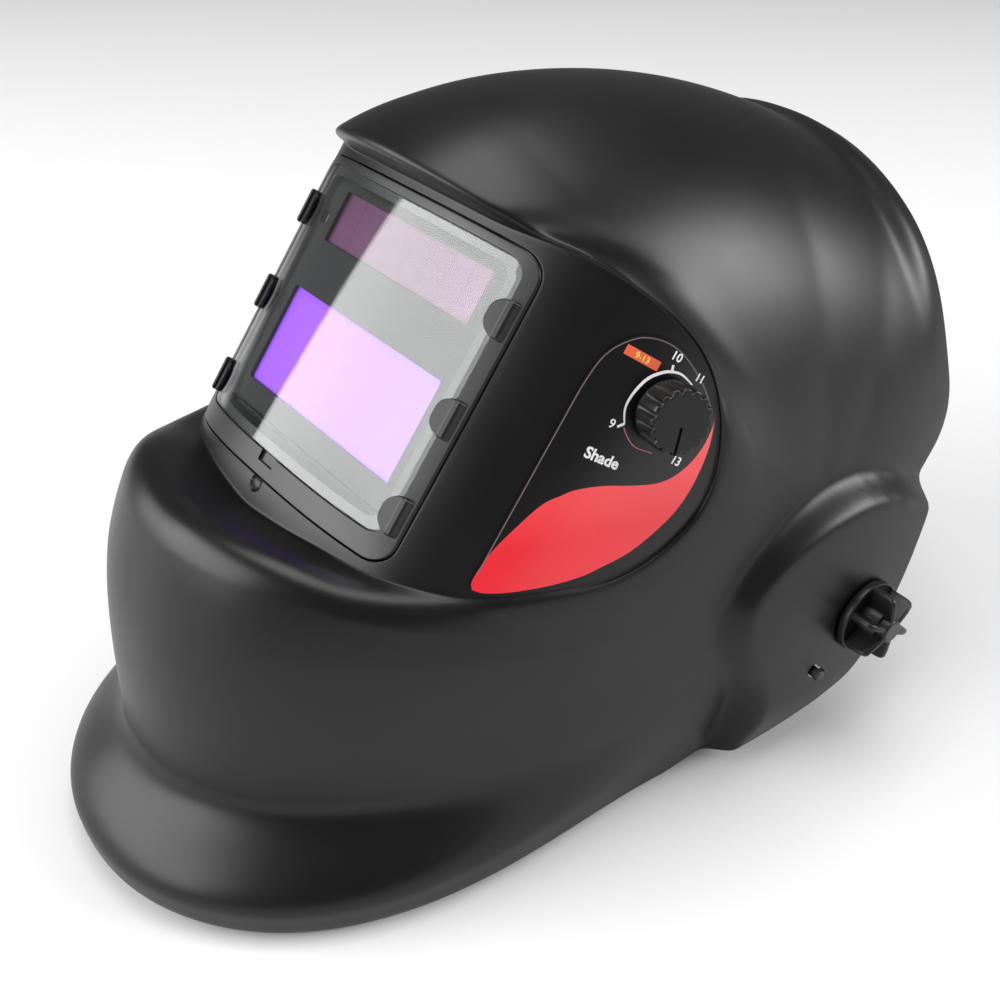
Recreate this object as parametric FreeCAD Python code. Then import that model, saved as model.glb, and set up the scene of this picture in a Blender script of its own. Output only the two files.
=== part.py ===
import FreeCAD, Part
import math
import os
from bisect import bisect_right
from math import atan2, cos, degrees, hypot, pi, radians, sin, sqrt

# Auto-darkening welding helmet, millimetres.  +X wearer's left, -Y front, +Z up.
# It rests on the table on its chin lip and the lower edges of its sides (Z = 0).

# ---------------------------------------------------------------- driving dimensions
CENTRE_Y = 82.0            # the filter centre lies this far in front of the frame origin
FILTER_H = 163.0           # height of the filter centre above the table
PITCH = 36.9               # lean-back of the filter plane from vertical, degrees

WALL = 2.6                 # shell wall thickness
SHELL_W = 106.0            # half width of the plain shell
SHELL_REAR = 215.0         # rear edge, from the filter centre
EAR_X = 118.0              # outer half width at the ear bosses
PIVOT_Y = 155.0            # head-gear pivot, from the filter centre
PIVOT_Z = 61.0
LIP_FLARE = 25.5           # how far the chin lip flares out at the front
ROLL = 4.0                 # rise of the rolled rear edge over the crown

BEZEL = (-62.3, 62.3, -41.5, 67.0)    # flush bezel: x0, x1, v0, v1
BEZEL_GAP = 0.4
COVER = (-57.0, 57.0, -33.0, 63.5)    # clear cover lens
OPENING = (-53.0, 53.0, -29.5, 60.5)  # through the bezel behind the lens
CART = (-55.0, 55.0, -28.0, 62.0)     # auto-darkening cartridge 110 x 90 x 9
CART_BACK = 1.6            # cartridge set back from the filter reference plane
LCD = (-46.0, 46.0, -18.75, 18.75)    # viewing window 92 x 37.5
SOLAR = (-43.5, 43.5, 37.9, 56.9)     # solar strip 87 x 19

DIAL_X = 94.3              # shade dial centre on the face section
DIAL_V = 44.3
DIAL_R = 11.0
DIAL_H = 11.0

BOLT_R = 4.0               # pivot bolts
KNOB_R = 15.0              # pivot knob flange
STOP_R = 29.0              # stop peg distance from the pivot

RING_Y = 160.0             # head ring centre
RING_A = 81.0              # half width, centre of strap
RING_B = 97.5              # half length, centre of strap
RING_N = 3.2
RING_Z = 95.0
STRAP_H = 22.0
STRAP_T = 1.8

V3 = FreeCAD.Vector
SP = sin(radians(PITCH))
CP = cos(radians(PITCH))
EV = (0.0, SP, CP)         # up the filter plane
EN = (0.0, -CP, SP)        # out of the filter plane

# ---------------------------------------------------------------- small vector helpers


def add(a, b, k=1.0):
    return (a[0] + b[0] * k, a[1] + b[1] * k, a[2] + b[2] * k)


def sub(a, b):
    return (a[0] - b[0], a[1] - b[1], a[2] - b[2])


def dot(a, b):
    return a[0] * b[0] + a[1] * b[1] + a[2] * b[2]


def cross(a, b):
    return (a[1] * b[2] - a[2] * b[1], a[2] * b[0] - a[0] * b[2], a[0] * b[1] - a[1] * b[0])


def unit(a):
    size = sqrt(dot(a, a))
    return (a[0] / size, a[1] / size, a[2] / size)


def step(x):
    x = min(max(x, 0.0), 1.0)
    return x * x * (3 - 2 * x)


def table(xs, ys, x):
    if x <= xs[0]:
        return ys[0]
    if x >= xs[-1]:
        return ys[-1]
    i = bisect_right(xs, x) - 1
    return ys[i] + (ys[i + 1] - ys[i]) * (x - xs[i]) / (xs[i + 1] - xs[i])


def closed_spline(knots):
    """smooth closed radius curve r(angle) through (angle, radius) pairs"""
    knots = sorted(knots)
    n = len(knots)
    a = [k[0] for k in knots]
    r = [k[1] for k in knots]
    h = [(a[(i + 1) % n] - a[i]) % (2 * pi) for i in range(n)]
    m = [[0.0] * (n + 1) for _ in range(n)]
    for i in range(n):
        m[i][i - 1] += h[i - 1]
        m[i][i] += 2 * (h[i - 1] + h[i])
        m[i][(i + 1) % n] += h[i]
        m[i][n] = 6 * ((r[(i + 1) % n] - r[i]) / h[i] - (r[i] - r[i - 1]) / h[i - 1])
    for i in range(n):
        for j in range(n):
            if j != i:
                f = m[j][i] / m[i][i]
                for k in range(i, n + 1):
                    m[j][k] -= f * m[i][k]
    c = [m[i][n] / m[i][i] for i in range(n)]

    def radius(angle):
        angle = (angle - a[0]) % (2 * pi) + a[0]
        i = bisect_right(a, angle) - 1
        j = (i + 1) % n
        p = angle - a[i]
        q = h[i] - p
        cubic = (c[i] * q ** 3 + c[j] * p ** 3) / (6 * h[i])
        return cubic + (r[i] / h[i] - c[i] * h[i] / 6) * q + (r[j] / h[i] - c[j] * h[i] / 6) * p

    return radius


# ---------------------------------------------------------------- the curved face
# Section across the face: a flat-fronted super-ellipse, depth n against x.
FACE_A = 102.0
FACE_B = 125.0
FACE_N = 2.8
FACE_0 = 10.0

FACE_X = []
FACE_D = []
FACE_S = []
for i in range(3001):
    angle = pi / 2 * i / 3000
    FACE_X.append(FACE_A * sin(angle) ** (2 / FACE_N))
    FACE_D.append(FACE_0 - FACE_B * (1 - cos(angle) ** (2 / FACE_N)))
    if i == 0:
        FACE_S.append(0.0)
    else:
        FACE_S.append(FACE_S[-1] + hypot(FACE_X[-1] - FACE_X[-2], FACE_D[-1] - FACE_D[-2]))


def face_section(s, lift=0.0):
    """(x, n, normal_x, normal_n) at distance s along the section, lifted off it"""
    a = abs(s)
    side = 1.0 if s >= 0 else -1.0
    x = table(FACE_S, FACE_X, a)
    n = table(FACE_S, FACE_D, a)
    lo = max(a - 0.5, 0.0)
    tx = table(FACE_S, FACE_X, a + 0.5) - table(FACE_S, FACE_X, lo)
    tn = table(FACE_S, FACE_D, a + 0.5) - table(FACE_S, FACE_D, lo)
    size = hypot(tx, tn)
    nx = -tn / size
    nn = tx / size
    if a < 0.5:
        nx = nx * a / 0.5
    return side * (x + nx * lift), n + nn * lift, side * nx, nn


def lens_point(x, v, n):
    return (x, v * EV[1] + n * EN[1], FILTER_H + v * EV[2] + n * EN[2])


def face(s, v, lift=0.0):
    x, n, nx, nn = face_section(s, lift)
    return lens_point(x, v, n)


# Outline of the sunken panel round the window, (x on the section, v), right half.
PANEL_V = 12.0
PANEL = [(0, 70.5), (31, 70.5), (58, 72), (74, 73.5), (84, 72.5), (91.4, 69.5), (96.1, 63.5),
         (99.2, 51.5), (100.4, 39.5), (100.9, 24.5), (100.5, 7.8), (98.7, -9.4), (94.2, -21.5),
         (87.2, -31.4), (82.6, -35.9), (72.5, -41.2), (57, -45.5), (44, -47), (29, -49),
         (11, -51.2), (0, -52)]


def panel_radius():
    knots = []
    for x, v in PANEL:
        s = table(FACE_X, FACE_S, x)
        knots.append((atan2(s, v - PANEL_V), hypot(s, v - PANEL_V)))
        if x > 0:
            knots.append((atan2(-s, v - PANEL_V), hypot(s, v - PANEL_V)))
    return closed_spline(knots)


# ---------------------------------------------------------------- the shell body
# Side outline (Y, Z) about a pole; the lower and rear parts lie outside the trimmed shell.
POLE = (130.0, 80.0)
SIDE = [(-88, 0), (-91, 40), (-89, 80), (-83, 112), (-66, 146), (-25, 198), (13, 237), (56, 249),
        (100, 248), (150, 238), (190, 223), (228, 202), (282, 152), (305, 80), (285, 0),
        (215, -65), (120, -90), (20, -80), (-60, -45)]
SIDE_R = closed_spline([(atan2(z - POLE[1], y - POLE[0]), hypot(y - POLE[0], z - POLE[1]))
                        for y, z in SIDE])
BOX_AT = [0, 30, 60, 80, 115, 140, 160, 172, 185, 205, 250, 360]
BOX_N = [3.0, 3.0, 2.3, 2.1, 2.1, 2.4, 2.38, 2.38, 2.25, 2.1, 2.0, 3.0]
CORE = (0.0, 85.0, 105.0)          # centre of the fan of rays that meets the surface
AXIS = unit(sub(lens_point(0, 8, 10), CORE))
FAN_UP = unit(add(EV, AXIS, -dot(EV, AXIS)))


def body_value(p):
    dy = p[1] - POLE[0]
    dz = p[2] - POLE[1]
    fan = atan2(dz, dy)
    power = table(BOX_AT, BOX_N, degrees(fan) % 360)
    return (hypot(dy, dz) / SIDE_R(fan)) ** power + (abs(p[0]) / SHELL_W) ** power - 1


def body_normal(p):
    e = 0.05
    g = (body_value((p[0] + e, p[1], p[2])) - body_value((p[0] - e, p[1], p[2])),
         body_value((p[0], p[1] + e, p[2])) - body_value((p[0], p[1] - e, p[2])),
         body_value((p[0], p[1], p[2] + e)) - body_value((p[0], p[1], p[2] - e)))
    return unit(g)


def bisect(inside, lo, hi, count=26):
    for _ in range(count):
        mid = (lo + hi) / 2
        if inside(mid):
            lo = mid
        else:
            hi = mid
    return (lo + hi) / 2


def ray(turn, tilt):
    side = sin(tilt) * sin(turn)
    up = sin(tilt) * cos(turn)
    d = add((AXIS[0] * cos(tilt), AXIS[1] * cos(tilt), AXIS[2] * cos(tilt)), FAN_UP, up)
    return (d[0] + side, d[1], d[2])


def turn_of(p):
    d = sub(p, CORE)
    return atan2(d[0], dot(d, FAN_UP))


def tilt_of(p):
    return math.acos(dot(unit(sub(p, CORE)), AXIS))


def body_point(turn, tilt):
    d = ray(turn, tilt)
    t = bisect(lambda m: body_value(add(CORE, d, m)) < 0, 20.0, 330.0)
    return add(CORE, d, t)


# Rear limit of the sides, (z, furthest y), rising from the lower edge to the open back.
REAR = [(-12, 10), (-4, 66), (4, 96), (12, 121), (20, 141), (28, 155), (38, 164.5), (52, 172.5),
        (72, 182), (92, 190.5), (99, 194.5), (105, 201), (112, 209), (120, 213.5), (130, SHELL_REAR),
        (400, SHELL_REAR)]


def beyond_rim(y, z):
    return z < -6 or y > table([k[0] for k in REAR], [k[1] for k in REAR], z)


# Foot line of the raised ear boss, (y, z) from the lower edge up and over to the rear edge.
EAR = [(88, -30), (93, -8), (99, 12), (102, 30), (99, 45), (92, 60), (88, 75), (91, 89),
       (101, 101), (115, 110), (133, 116), (154, 117), (177, 110.5), (200, 98), (228, 80)]


def soft_line(knots, per):
    """smooth line through the points"""
    out = []
    for i in range(len(knots) - 1):
        p = [knots[min(max(i + k, 0), len(knots) - 1)] for k in (-1, 0, 1, 2)]
        for j in range(per):
            t = j / per
            out.append(tuple(0.5 * (2 * b + (c - a) * t + (2 * a - 5 * b + 4 * c - d) * t * t
                                    + (3 * b - a - 3 * c + d) * t ** 3)
                             for a, b, c, d in zip(*p)))
    out.append(knots[-1])
    return out


EAR_LINE = soft_line(EAR, 5)
EAR_STEP = 8.0             # width of the rounded step round the boss


def ear_depth(y, z):
    """how far a point lies inside the foot line, seen from the side; negative outside"""
    best = 1e9
    depth = -1e9
    for (ay, az), (by, bz) in zip(EAR_LINE, EAR_LINE[1:]):
        dy = by - ay
        dz = bz - az
        t = min(max(((y - ay) * dy + (z - az) * dz) / (dy * dy + dz * dz), 0), 1)
        away = hypot(y - ay - t * dy, z - az - t * dz)
        if away < best - 1e-9:
            best = away
            depth = math.copysign(away, (y - ay) * dz - (z - az) * dy)
    return depth


def rear_roll(y, z):
    """rise of the rolled rear edge over the crown"""
    return ROLL * step((y - 199) / 9) * step((z - 140) / 50)


def with_features(p, n):
    """adds the chin lip, the ear boss and the rolled rear edge to a plain body point"""
    x, y, z = p
    q = p
    if z < 46:
        flat = unit((n[0], n[1], 0.0))
        out = step((44 - z) / 31) - 0.07 * min(max((7 - z) / 7, 0), 1) ** 2
        q = add(q, flat, LIP_FLARE * step((75 - y) / 150) * out)
    if abs(x) > 60:
        away = (y - PIVOT_Y) ** 2 + (z - PIVOT_Z) ** 2
        want = EAR_X - 0.0013 * away - 7 * step((34 - z) / 38)
        push = max(want - abs(q[0]), 0) * step(ear_depth(y, z) / EAR_STEP)
        q = (q[0] + math.copysign(push, x), q[1], q[2])
    return add(q, n, rear_roll(y, z))


COLUMNS = 184


def shell_grid():
    """rows of points from the middle of the window out over the panel and back to the rim"""
    radius = panel_radius()
    loop = []
    for i in range(1440):
        a = -pi + 2 * pi * i / 1440
        s = radius(a) * sin(a)
        v = PANEL_V + radius(a) * cos(a)
        loop.append((turn_of(face(s, v)), s, v))
    loop.sort()
    loop = [(loop[-1][0] - 2 * pi,) + loop[-1][1:]] + loop + [(loop[0][0] + 2 * pi,) + loop[0][1:]]
    turns = [k[0] for k in loop]
    weight = [0.0]
    for i in range(2000):
        a = -pi + 2 * pi * (i + 0.5) / 2000
        weight.append(weight[-1] + 1 + 0.9 * math.exp(-((abs(a) - 2.0) / 0.35) ** 2))
    grid = []
    for i in range(COLUMNS):
        turn = -pi + 2 * pi * table(weight, range(2001), weight[-1] * i / COLUMNS) / 2000
        s1 = table(turns, [k[1] for k in loop], turn)
        v1 = table(turns, [k[2] for k in loop], turn)
        grid.append(column(s1, v1))
    return grid


def column(s1, v1):
    pts = []
    for q in (0.42, 0.52, 0.62, 0.71, 0.80, 0.88, 0.94, 0.985, 1.0):
        pts.append(face(s1 * q, PANEL_V + (v1 - PANEL_V) * q))
    low = step((-v1 - 5) / 40)
    top = step((v1 - 55) / 12)
    v2 = v1 - 6 * low + 1.5 * top
    lift = bisect(lambda m: body_value(face(s1, v2, m)) < 0, -5.0, 70.0)
    corner = step((abs(s1) - 42) / 30) * step((v1 - 15) / 35)
    held = max(lift, 1.8)
    held += (min(held, 2.6) - held) * corner
    edge = face(s1, v2, held)
    base = pts[-1]
    rise = sub(edge, base)
    height = sqrt(dot(rise, rise))
    rounding = 3.0 + 7.0 * low + 1.0 * top
    share = 1 - min(rounding, 0.6 * height) / height
    before = add(base, rise, share)
    turn = turn_of(edge)
    tilt = tilt_of(edge)
    reach = sqrt(dot(sub(edge, CORE), sub(edge, CORE)))
    start = tilt + rounding / reach * 1.15
    shortfall = held - lift

    def over(a):
        p = body_point(turn, a)
        n = body_normal(p)
        p = add(p, n, shortfall * math.exp(-((a - tilt) * reach / 28) ** 2))
        return with_features(p, n)

    after = over(start)
    pts.append(add(base, rise, min(0.8 / height, 0.3 * share)))
    for k in range(1, 6):
        f = min(0.8 / height, 0.3 * share)
        pts.append(add(base, rise, f + (share - f) * k / 5))
    for k in range(1, 5):
        q = k / 5
        pts.append(tuple((1 - q) ** 2 * before[j] + 2 * q * (1 - q) * edge[j] + q * q * after[j]
                         for j in range(3)))
    pts.append(after)

    def within(a):
        p = body_point(turn, a)
        return not beyond_rim(p[1], p[2])

    end = bisect(within, tilt, 2.75)
    count = 52
    for k in range(1, count + 1):
        q = k / count
        q = q - 0.05 * sin(2 * pi * q)
        pts.append(over(start + (end - start) * q))
    return pts


def inner_grid(grid):
    """the same grid moved inwards by the wall thickness along softened normals"""
    nt = len(grid)
    nv = len(grid[0])
    out = []
    for i in range(nt):
        left = grid[i - 1]
        right = grid[(i + 1) % nt]
        here = grid[i]
        normals = []
        along = [0.0]
        for j in range(nv):
            a = sub(right[j], left[j])
            b = sub(here[min(j + 1, nv - 1)], here[max(j - 1, 0)])
            normals.append(unit(cross(a, b)))
            if j:
                d = sub(here[j], here[j - 1])
                along.append(along[-1] + sqrt(dot(d, d)))
        col = []
        for j in range(nv):
            total = (0.0, 0.0, 0.0)
            for k in range(max(j - 7, 0), min(j + 8, nv)):
                span = along[min(k + 1, nv - 1)] - along[max(k - 1, 0)]
                w = span * math.exp(-((along[k] - along[j]) / 3.2) ** 2)
                total = add(total, normals[k], w)
            col.append(add(here[j], unit(total), -WALL))
        out.append(col)
    return out


def surface(cols, degree=3):
    poles = [[V3(*p) for p in col] for col in cols]
    nt = len(cols)
    nv = len(cols[0])
    if degree == 3:
        vk = [float(k) for k in range(nv - 2)]
        vm = [4] + [1] * (nv - 4) + [4]
    else:
        vk = [0.0, 1.0]
        vm = [2, 2]
    uk = [float(k) for k in range(nt + 1)]
    um = [1] * (nt + 1)
    surf = Part.BSplineSurface()
    surf.buildFromPolesMultsKnots(poles, um, vm, uk, vk, True, False, 3, degree)
    return surf.toShape()


def helmet_blank():
    outer = shell_grid()
    inner = inner_grid(outer)
    faces = [surface(outer), surface(inner),
             surface([[outer[i][0], inner[i][0]] for i in range(COLUMNS)], 1),
             surface([[outer[i][-1], inner[i][-1]] for i in range(COLUMNS)], 1)]
    skin = Part.Shell(faces)
    solid = Part.Solid(skin)
    if solid.Volume < 0:
        solid.reverse()
    return solid


# ---------------------------------------------------------------- frames and solid helpers
LENS = FreeCAD.Placement(V3(0, 0, FILTER_H), FreeCAD.Rotation(V3(1, 0, 0), 90 - PITCH))


def in_lens(shape):
    """local x, v, n to the helmet frame"""
    shape = shape.copy()
    shape.Placement = LENS.multiply(shape.Placement)
    return shape


def in_bay(shape):
    """as in_lens, set back with the cartridge"""
    shape = shape.copy()
    shape.translate(V3(0, 0, -CART_BACK))
    return in_lens(shape)


def box(x0, x1, y0, y1, z0, z1):
    return Part.makeBox(x1 - x0, y1 - y0, z1 - z0, V3(x0, y0, z0))


def rod(p, axis, r, length):
    return Part.makeCylinder(r, length, V3(*p), V3(*axis))


def rounded(x0, x1, y0, y1, r, z0, z1):
    """upright block with rounded corners"""
    block = box(x0, x1, y0, y1, z0, z1)
    return block.makeFillet(r, [e for e in block.Edges if abs(e.Vertexes[0].Z - e.Vertexes[1].Z) > 1e-3])


def prism(points, direction):
    wire = Part.makePolygon([V3(*p) for p in points] + [V3(*points[0])])
    return Part.Face(wire).extrude(V3(*direction))


def fused(shapes):
    out = shapes[0]
    for s in shapes[1:]:
        out = out.fuse(s)
    return out.removeSplitter()


def mirrored(shape):
    return shape.mirror(V3(0, 0, 0), V3(1, 0, 0))


def softened(shape, r, pick):
    """rounds the chosen edges; leaves the shape square if the round will not close"""
    edges = [e for e in shape.Edges if pick(e)]
    try:
        out = shape.makeFillet(r, edges)
        if out.isValid() and out.Volume > 0:
            return out
    except Exception:
        pass
    return shape


def slab(s_end, low, high, v0, v1):
    """a plate that follows the face section between two lifts, in lens coordinates"""
    count = 40
    lines = []
    for lift in (low, high):
        pts = []
        for i in range(count + 1):
            s = -s_end + 2 * s_end * i / count
            x, n, nx, nn = face_section(s, lift)
            pts.append(V3(x, v0, n))
        curve = Part.BSplineCurve()
        curve.interpolate(pts)
        lines.append(curve.toShape())
    ends = []
    for k in (0, 1):
        ends.append(Part.makeLine(lines[0].Vertexes[k].Point, lines[1].Vertexes[k].Point))
    wire = Part.Wire([lines[0], ends[1], lines[1], ends[0]])
    return Part.Face(wire).extrude(V3(0, v1 - v0, 0))


def plan(rect, grow, r, n0=-30.0, n1=30.0):
    x0, x1, v0, v1 = rect
    return rounded(x0 - grow, x1 + grow, v0 - grow, v1 + grow, r, n0, n1)


# ---------------------------------------------------------------- shade dial frame
DIAL_S = table(FACE_X, FACE_S, DIAL_X)
DIAL_P = face(DIAL_S, DIAL_V)
DIAL_N = unit(sub(face(DIAL_S, DIAL_V, 1.0), DIAL_P))
DIAL_U = cross(EV, DIAL_N)
DIAL = FreeCAD.Placement(V3(*DIAL_P), FreeCAD.Rotation(V3(*DIAL_U), V3(*EV), V3(*DIAL_N), "ZXY"))


def in_dial(shape):
    """local x round the face, y up the face, z out of the dial"""
    shape = shape.copy()
    shape.Placement = DIAL.multiply(shape.Placement)
    return shape


SENSE = ((-22.0, 44.0), (22.0, 44.0))       # inner adjusters on the back of the cartridge
SCREWS = [(x, v) for x in (-65.5, 65.5) for v in (-22.0, 52.0)]
THUMB_V = -44.0
LEVER_A = atan2(41 - PIVOT_Z, 134 - PIVOT_Y)


def stop_slot():
    """curved slot for the tilt-stop peg, about the pivot"""
    cut = []
    for k in range(-4, 5):
        a = LEVER_A + radians(1.75 * k)
        cut.append(rod((105, PIVOT_Y + STOP_R * cos(a), PIVOT_Z + STOP_R * sin(a)), (1, 0, 0), 2.6, 30))
    return fused(cut)


def helmet_shell():
    shell = helmet_blank()
    tools = [box(-200, 200, -200, 300, -20, 0)]
    tools.append(in_lens(plan(BEZEL, BEZEL_GAP, 8.4)))
    tools.append(in_lens(Part.makeSphere(4.6, V3(0, THUMB_V, FACE_0 + 3.0))))
    right = [rod((90, PIVOT_Y, PIVOT_Z), (1, 0, 0), BOLT_R + 0.4, 50), stop_slot()]
    tools += right + [mirrored(t) for t in right]
    tools.append(in_dial(rod((0, 0, -12), (0, 0, 1), 3.9, 24)))
    shell = shell.cut(tools)
    boss_room = in_lens(slab(75, -14, -1.3, -60, 80))
    for x, v in SCREWS:
        boss = in_bay(rod((x, v, -9.2), (0, 0, 1), 2.4, 20)).common(boss_room)
        shell = shell.fuse(boss).cut(in_bay(rod((x, v, -9.4), (0, 0, 1), 1.25, 2.9)))
    return shell


def lens_bezel():
    frame = slab(78, -1.9, 0.5, -50, 75).common(plan(BEZEL, 0, 8))
    frame = frame.cut(slab(78, -0.9, 6, -50, 75).common(plan(COVER, 0.3, 6.3)))
    frame = frame.cut(plan(OPENING, 0, 5))
    frame = frame.cut(slab(78, -0.7, 6, -50, 75).common(box(-4.5, 4.5, -45, -37, 0, 30)))
    legs = []
    for x in (-27, 19):
        legs.append(box(x, x + 8, 64.3, 66.0, -9.3 - CART_BACK, 8.0))
        legs.append(box(x, x + 8, -32.4, -30.7, -9.3 - CART_BACK, 8.0))
    for leg in legs:
        frame = frame.fuse(leg.common(slab(78, -30, -1.0, -50, 75)))
    return in_lens(frame.removeSplitter())


CLIPS = [(side, v) for side in (-1, 1) for v in (45.3, 10.5, -24.3)]


def bezel_clips():
    low = slab(78, 0.5, 1.7, -50, 75)
    high = slab(78, 1.6, 2.9, -50, 75)
    out = []
    for side, v in CLIPS:
        tab = rounded(53.4, 66, v - 6.6, v + 6.6, 5.6, -30, 30).common(box(50, 61.2, -60, 90, -30, 30))
        bar = rounded(58.6, 61.2, v - 6.6, v + 6.6, 1.0, -30, 30)
        if side < 0:
            tab = mirrored(tab)
            bar = mirrored(bar)
        out.append(low.common(tab).fuse(high.common(bar)).removeSplitter())
    return in_lens(Part.makeCompound(out))


def cover_lens():
    return in_lens(slab(78, -0.8, 0.3, -50, 75).common(plan(COVER, 0, 6)))


def cartridge_front():
    body = plan(CART, 0, 4.5, -3.0, 1.0)
    body = softened(body, 0.8, lambda e: e.BoundBox.ZMin > 0.99)
    for rect, r in ((LCD, 1.0), (SOLAR, 1.0)):
        body = body.cut(plan(rect, 0, r, -4, 2))
        body = body.cut(plan(rect, 2.3, 1.0, -4, -0.6))
    for x in (-49.5, 49.5):
        body = body.cut(rod((x, 45, -4), (0, 0, 1), 2.3, 7))
    return in_bay(body)


def cartridge_rear():
    body = plan(CART, 0, 4.5, -8.0, -3.05)
    body = softened(body, 0.8, lambda e: e.BoundBox.ZMax < -7.99)
    body = body.cut(plan(LCD, 0, 1.0, -9, -2))
    body = body.cut(rounded(-50.8, 50.8, -24.3, 24.8, 2, -9, -6.9))
    body = body.cut(rod((53.0, 20, -5.7), (1, 0, 0), 1.7, 5))
    for x, v in SENSE:
        body = body.cut(rod((x, v, -9), (0, 0, 1), 2.1, 4))
    body = body.cut(rounded(-9.3, 9.3, 35.7, 52.3, 2, -9, -7.0))
    return in_bay(body)


def lcd_window():
    return in_bay(plan(LCD, 2.0, 0.8, -2.9, -0.65))


def solar_cell():
    return in_bay(plan(SOLAR, 2.0, 0.8, -2.9, -0.65))


def arc_sensors():
    out = []
    for x in (-49.5, 49.5):
        dome = rod((x, 45, -2.95), (0, 0, 1), 2.1, 3.4)
        out.append(softened(dome, 0.8, lambda e: e.BoundBox.ZMin > 0.4))
    return in_bay(Part.makeCompound(out))


def inner_cover():
    return in_bay(rounded(-50.4, 50.4, -23.9, 24.4, 1.8, -8.0, -7.0))


def battery_door():
    lid = rounded(-9.0, 9.0, 36.0, 52.0, 1.8, -8.5, -7.05)
    for k in range(3):
        lid = lid.cut(box(-5, 5, 46 + 1.6 * k, 46.8 + 1.6 * k, -9, -8.1))
    return in_bay(lid)


def adjuster(x, v):
    """small finger wheel with its stub spindle on the back of the cartridge"""
    wheel = rod((x, v, -12.2), (0, 0, 1), 6.5, 3.8)
    wheel = softened(wheel, 0.6, lambda e: e.BoundBox.ZMax < -12.1)
    for k in range(12):
        a = 2 * pi * k / 12
        wheel = wheel.cut(rod((x + 7.0 * cos(a), v + 7.0 * sin(a), -13), (0, 0, 1), 0.9, 6))
    wheel = wheel.cut(box(x - 0.5, x + 0.5, v, v + 6, -13, -11.6))
    return in_bay(wheel.fuse(rod((x, v, -8.5), (0, 0, 1), 1.7, 3.2)))


def cartridge_holder():
    plate = rounded(-68.0, 68.0, -32.5, 66, 5, -11.4, -9.4)
    wall = plan(CART, 2.0, 6.3, -10, 0).cut(plan(CART, 0.35, 4.8, -10, 1))
    wall = wall.common(slab(78, -20, -4.6, -50, 80))
    body = plate.fuse(wall)
    body = body.cut(rounded(-47, 47, -22, 54, 4, -13, -9))
    body = body.cut(box(54, 70, 15, 25, -12, 0))
    for x in (-30, 0, 30):
        body = body.cut(rounded(x - 9, x + 9, -31.5, -27, 1.5, -13, -9))
    for x, v in SCREWS:
        body = body.cut(rod((x, v, -13), (0, 0, 1), 1.3, 6))
    return in_bay(body)


def holder_screws():
    out = []
    for x, v in SCREWS:
        screw = rod((x, v, -11.4), (0, 0, 1), 1.15, 4.4)
        head = rod((x, v, -13.2), (0, 0, 1), 2.7, 1.8)
        head = softened(head, 0.5, lambda e: e.BoundBox.ZMax < -13.1)
        head = head.cut(box(x - 2, x + 2, v - 0.3, v + 0.3, -14, -12.5))
        head = head.cut(box(x - 0.3, x + 0.3, v - 2, v + 2, -14, -12.5))
        out.append(screw.fuse(head))
    return in_bay(Part.makeCompound(out))


LABEL = [(81.2, -30.7), (81.2, 4), (81.2, 37.2), (82.0, 50), (84.3, 58.3), (87.5, 62.6),
         (91.5, 63.6), (96.3, 58.2), (98.5, 51.0), (99.4, 44), (99.9, 25.7), (99.1, 7.2),
         (96.6, -9.2), (91.4, -22.4), (83.9, -31.8)]


def shade_label():
    pts = []
    for x, v in LABEL:
        p = V3(*face(table(FACE_X, FACE_S, x), v))
        q = DIAL.inverse().multVec(p)
        pts.append(V3(q.x, q.y, -40))
    curve = Part.BSplineCurve()
    curve.interpolate(pts[2:] + [pts[0]])
    side = Part.makeLine(pts[0], pts[2])
    cutter = Part.Face(Part.Wire([curve.toShape(), side])).extrude(V3(0, 0, 80))
    plate = in_lens(slab(175, 0.25, 0.6, -50, 80).common(box(60, 110, -60, 90, -110, 20)))
    plate = plate.common(in_dial(cutter))
    return plate.cut(in_dial(rod((0, 0, -5), (0, 0, 1), 3.9, 20)))


def shade_dial():
    knob = rod((0, 0, 1.7), (0, 0, 1), DIAL_R, DIAL_H)
    knob = softened(knob, 1.0, lambda e: e.BoundBox.ZMin > DIAL_H + 1.6)
    for k in range(16):
        a = 2 * pi * (k + 0.5) / 16
        knob = knob.cut(rod(((DIAL_R + 0.9) * cos(a), (DIAL_R + 0.9) * sin(a), 3.4), (0, 0, 1), 1.7, 12))
    knob = knob.cut(rod((0, 0, 1), (0, 0, 1), 6.6, 3.2))
    knob = knob.cut(rod((0, 0, 1), (0, 0, 1), 3.0, 9))
    pointer = box(-0.6, 0.6, 1.5, 12, DIAL_H + 0.9, DIAL_H + 3)
    pointer.rotate(V3(0, 0, 0), V3(0, 0, 1), -162)
    return in_dial(knob.cut(pointer))


def pot_shaft():
    return in_dial(rod((0, 0, -2.0), (0, 0, 1), 2.95, 11.9))


def pot_housing():
    body = rod((0, 0, -11.5), (0, 0, 1), 8.0, 8.0)
    body = body.fuse(rod((0, 0, -3.6), (0, 0, 1), 3.5, 4.9))
    body = body.cut(rod((0, 0, -2.4), (0, 0, 1), 3.2, 6))
    for x in (-3, 0, 3):
        body = body.fuse(box(x - 0.6, x + 0.6, -10.5, -7.5, -10.5, -10.0))
    return in_dial(body.removeSplitter())


def pot_nut():
    pts = [(5.6 * cos(pi * k / 3), 5.6 * sin(pi * k / 3), 0.75) for k in range(6)]
    return in_dial(prism(pts, (0, 0, 1.9)).cut(rod((0, 0, 0), (0, 0, 1), 3.55, 4)))


def lead_socket():
    """inlet for the dial's lead on the side of the cartridge"""
    block = rounded(55.2, 60.0, 16.4, 23.6, 1.2, -7.6, -3.8)
    block = block.cut(rod((56.5, 20, -5.7), (1, 0, 0), 1.3, 6))
    return in_bay(block.fuse(rod((53.4, 20, -5.7), (1, 0, 0), 1.6, 2)))


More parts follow.
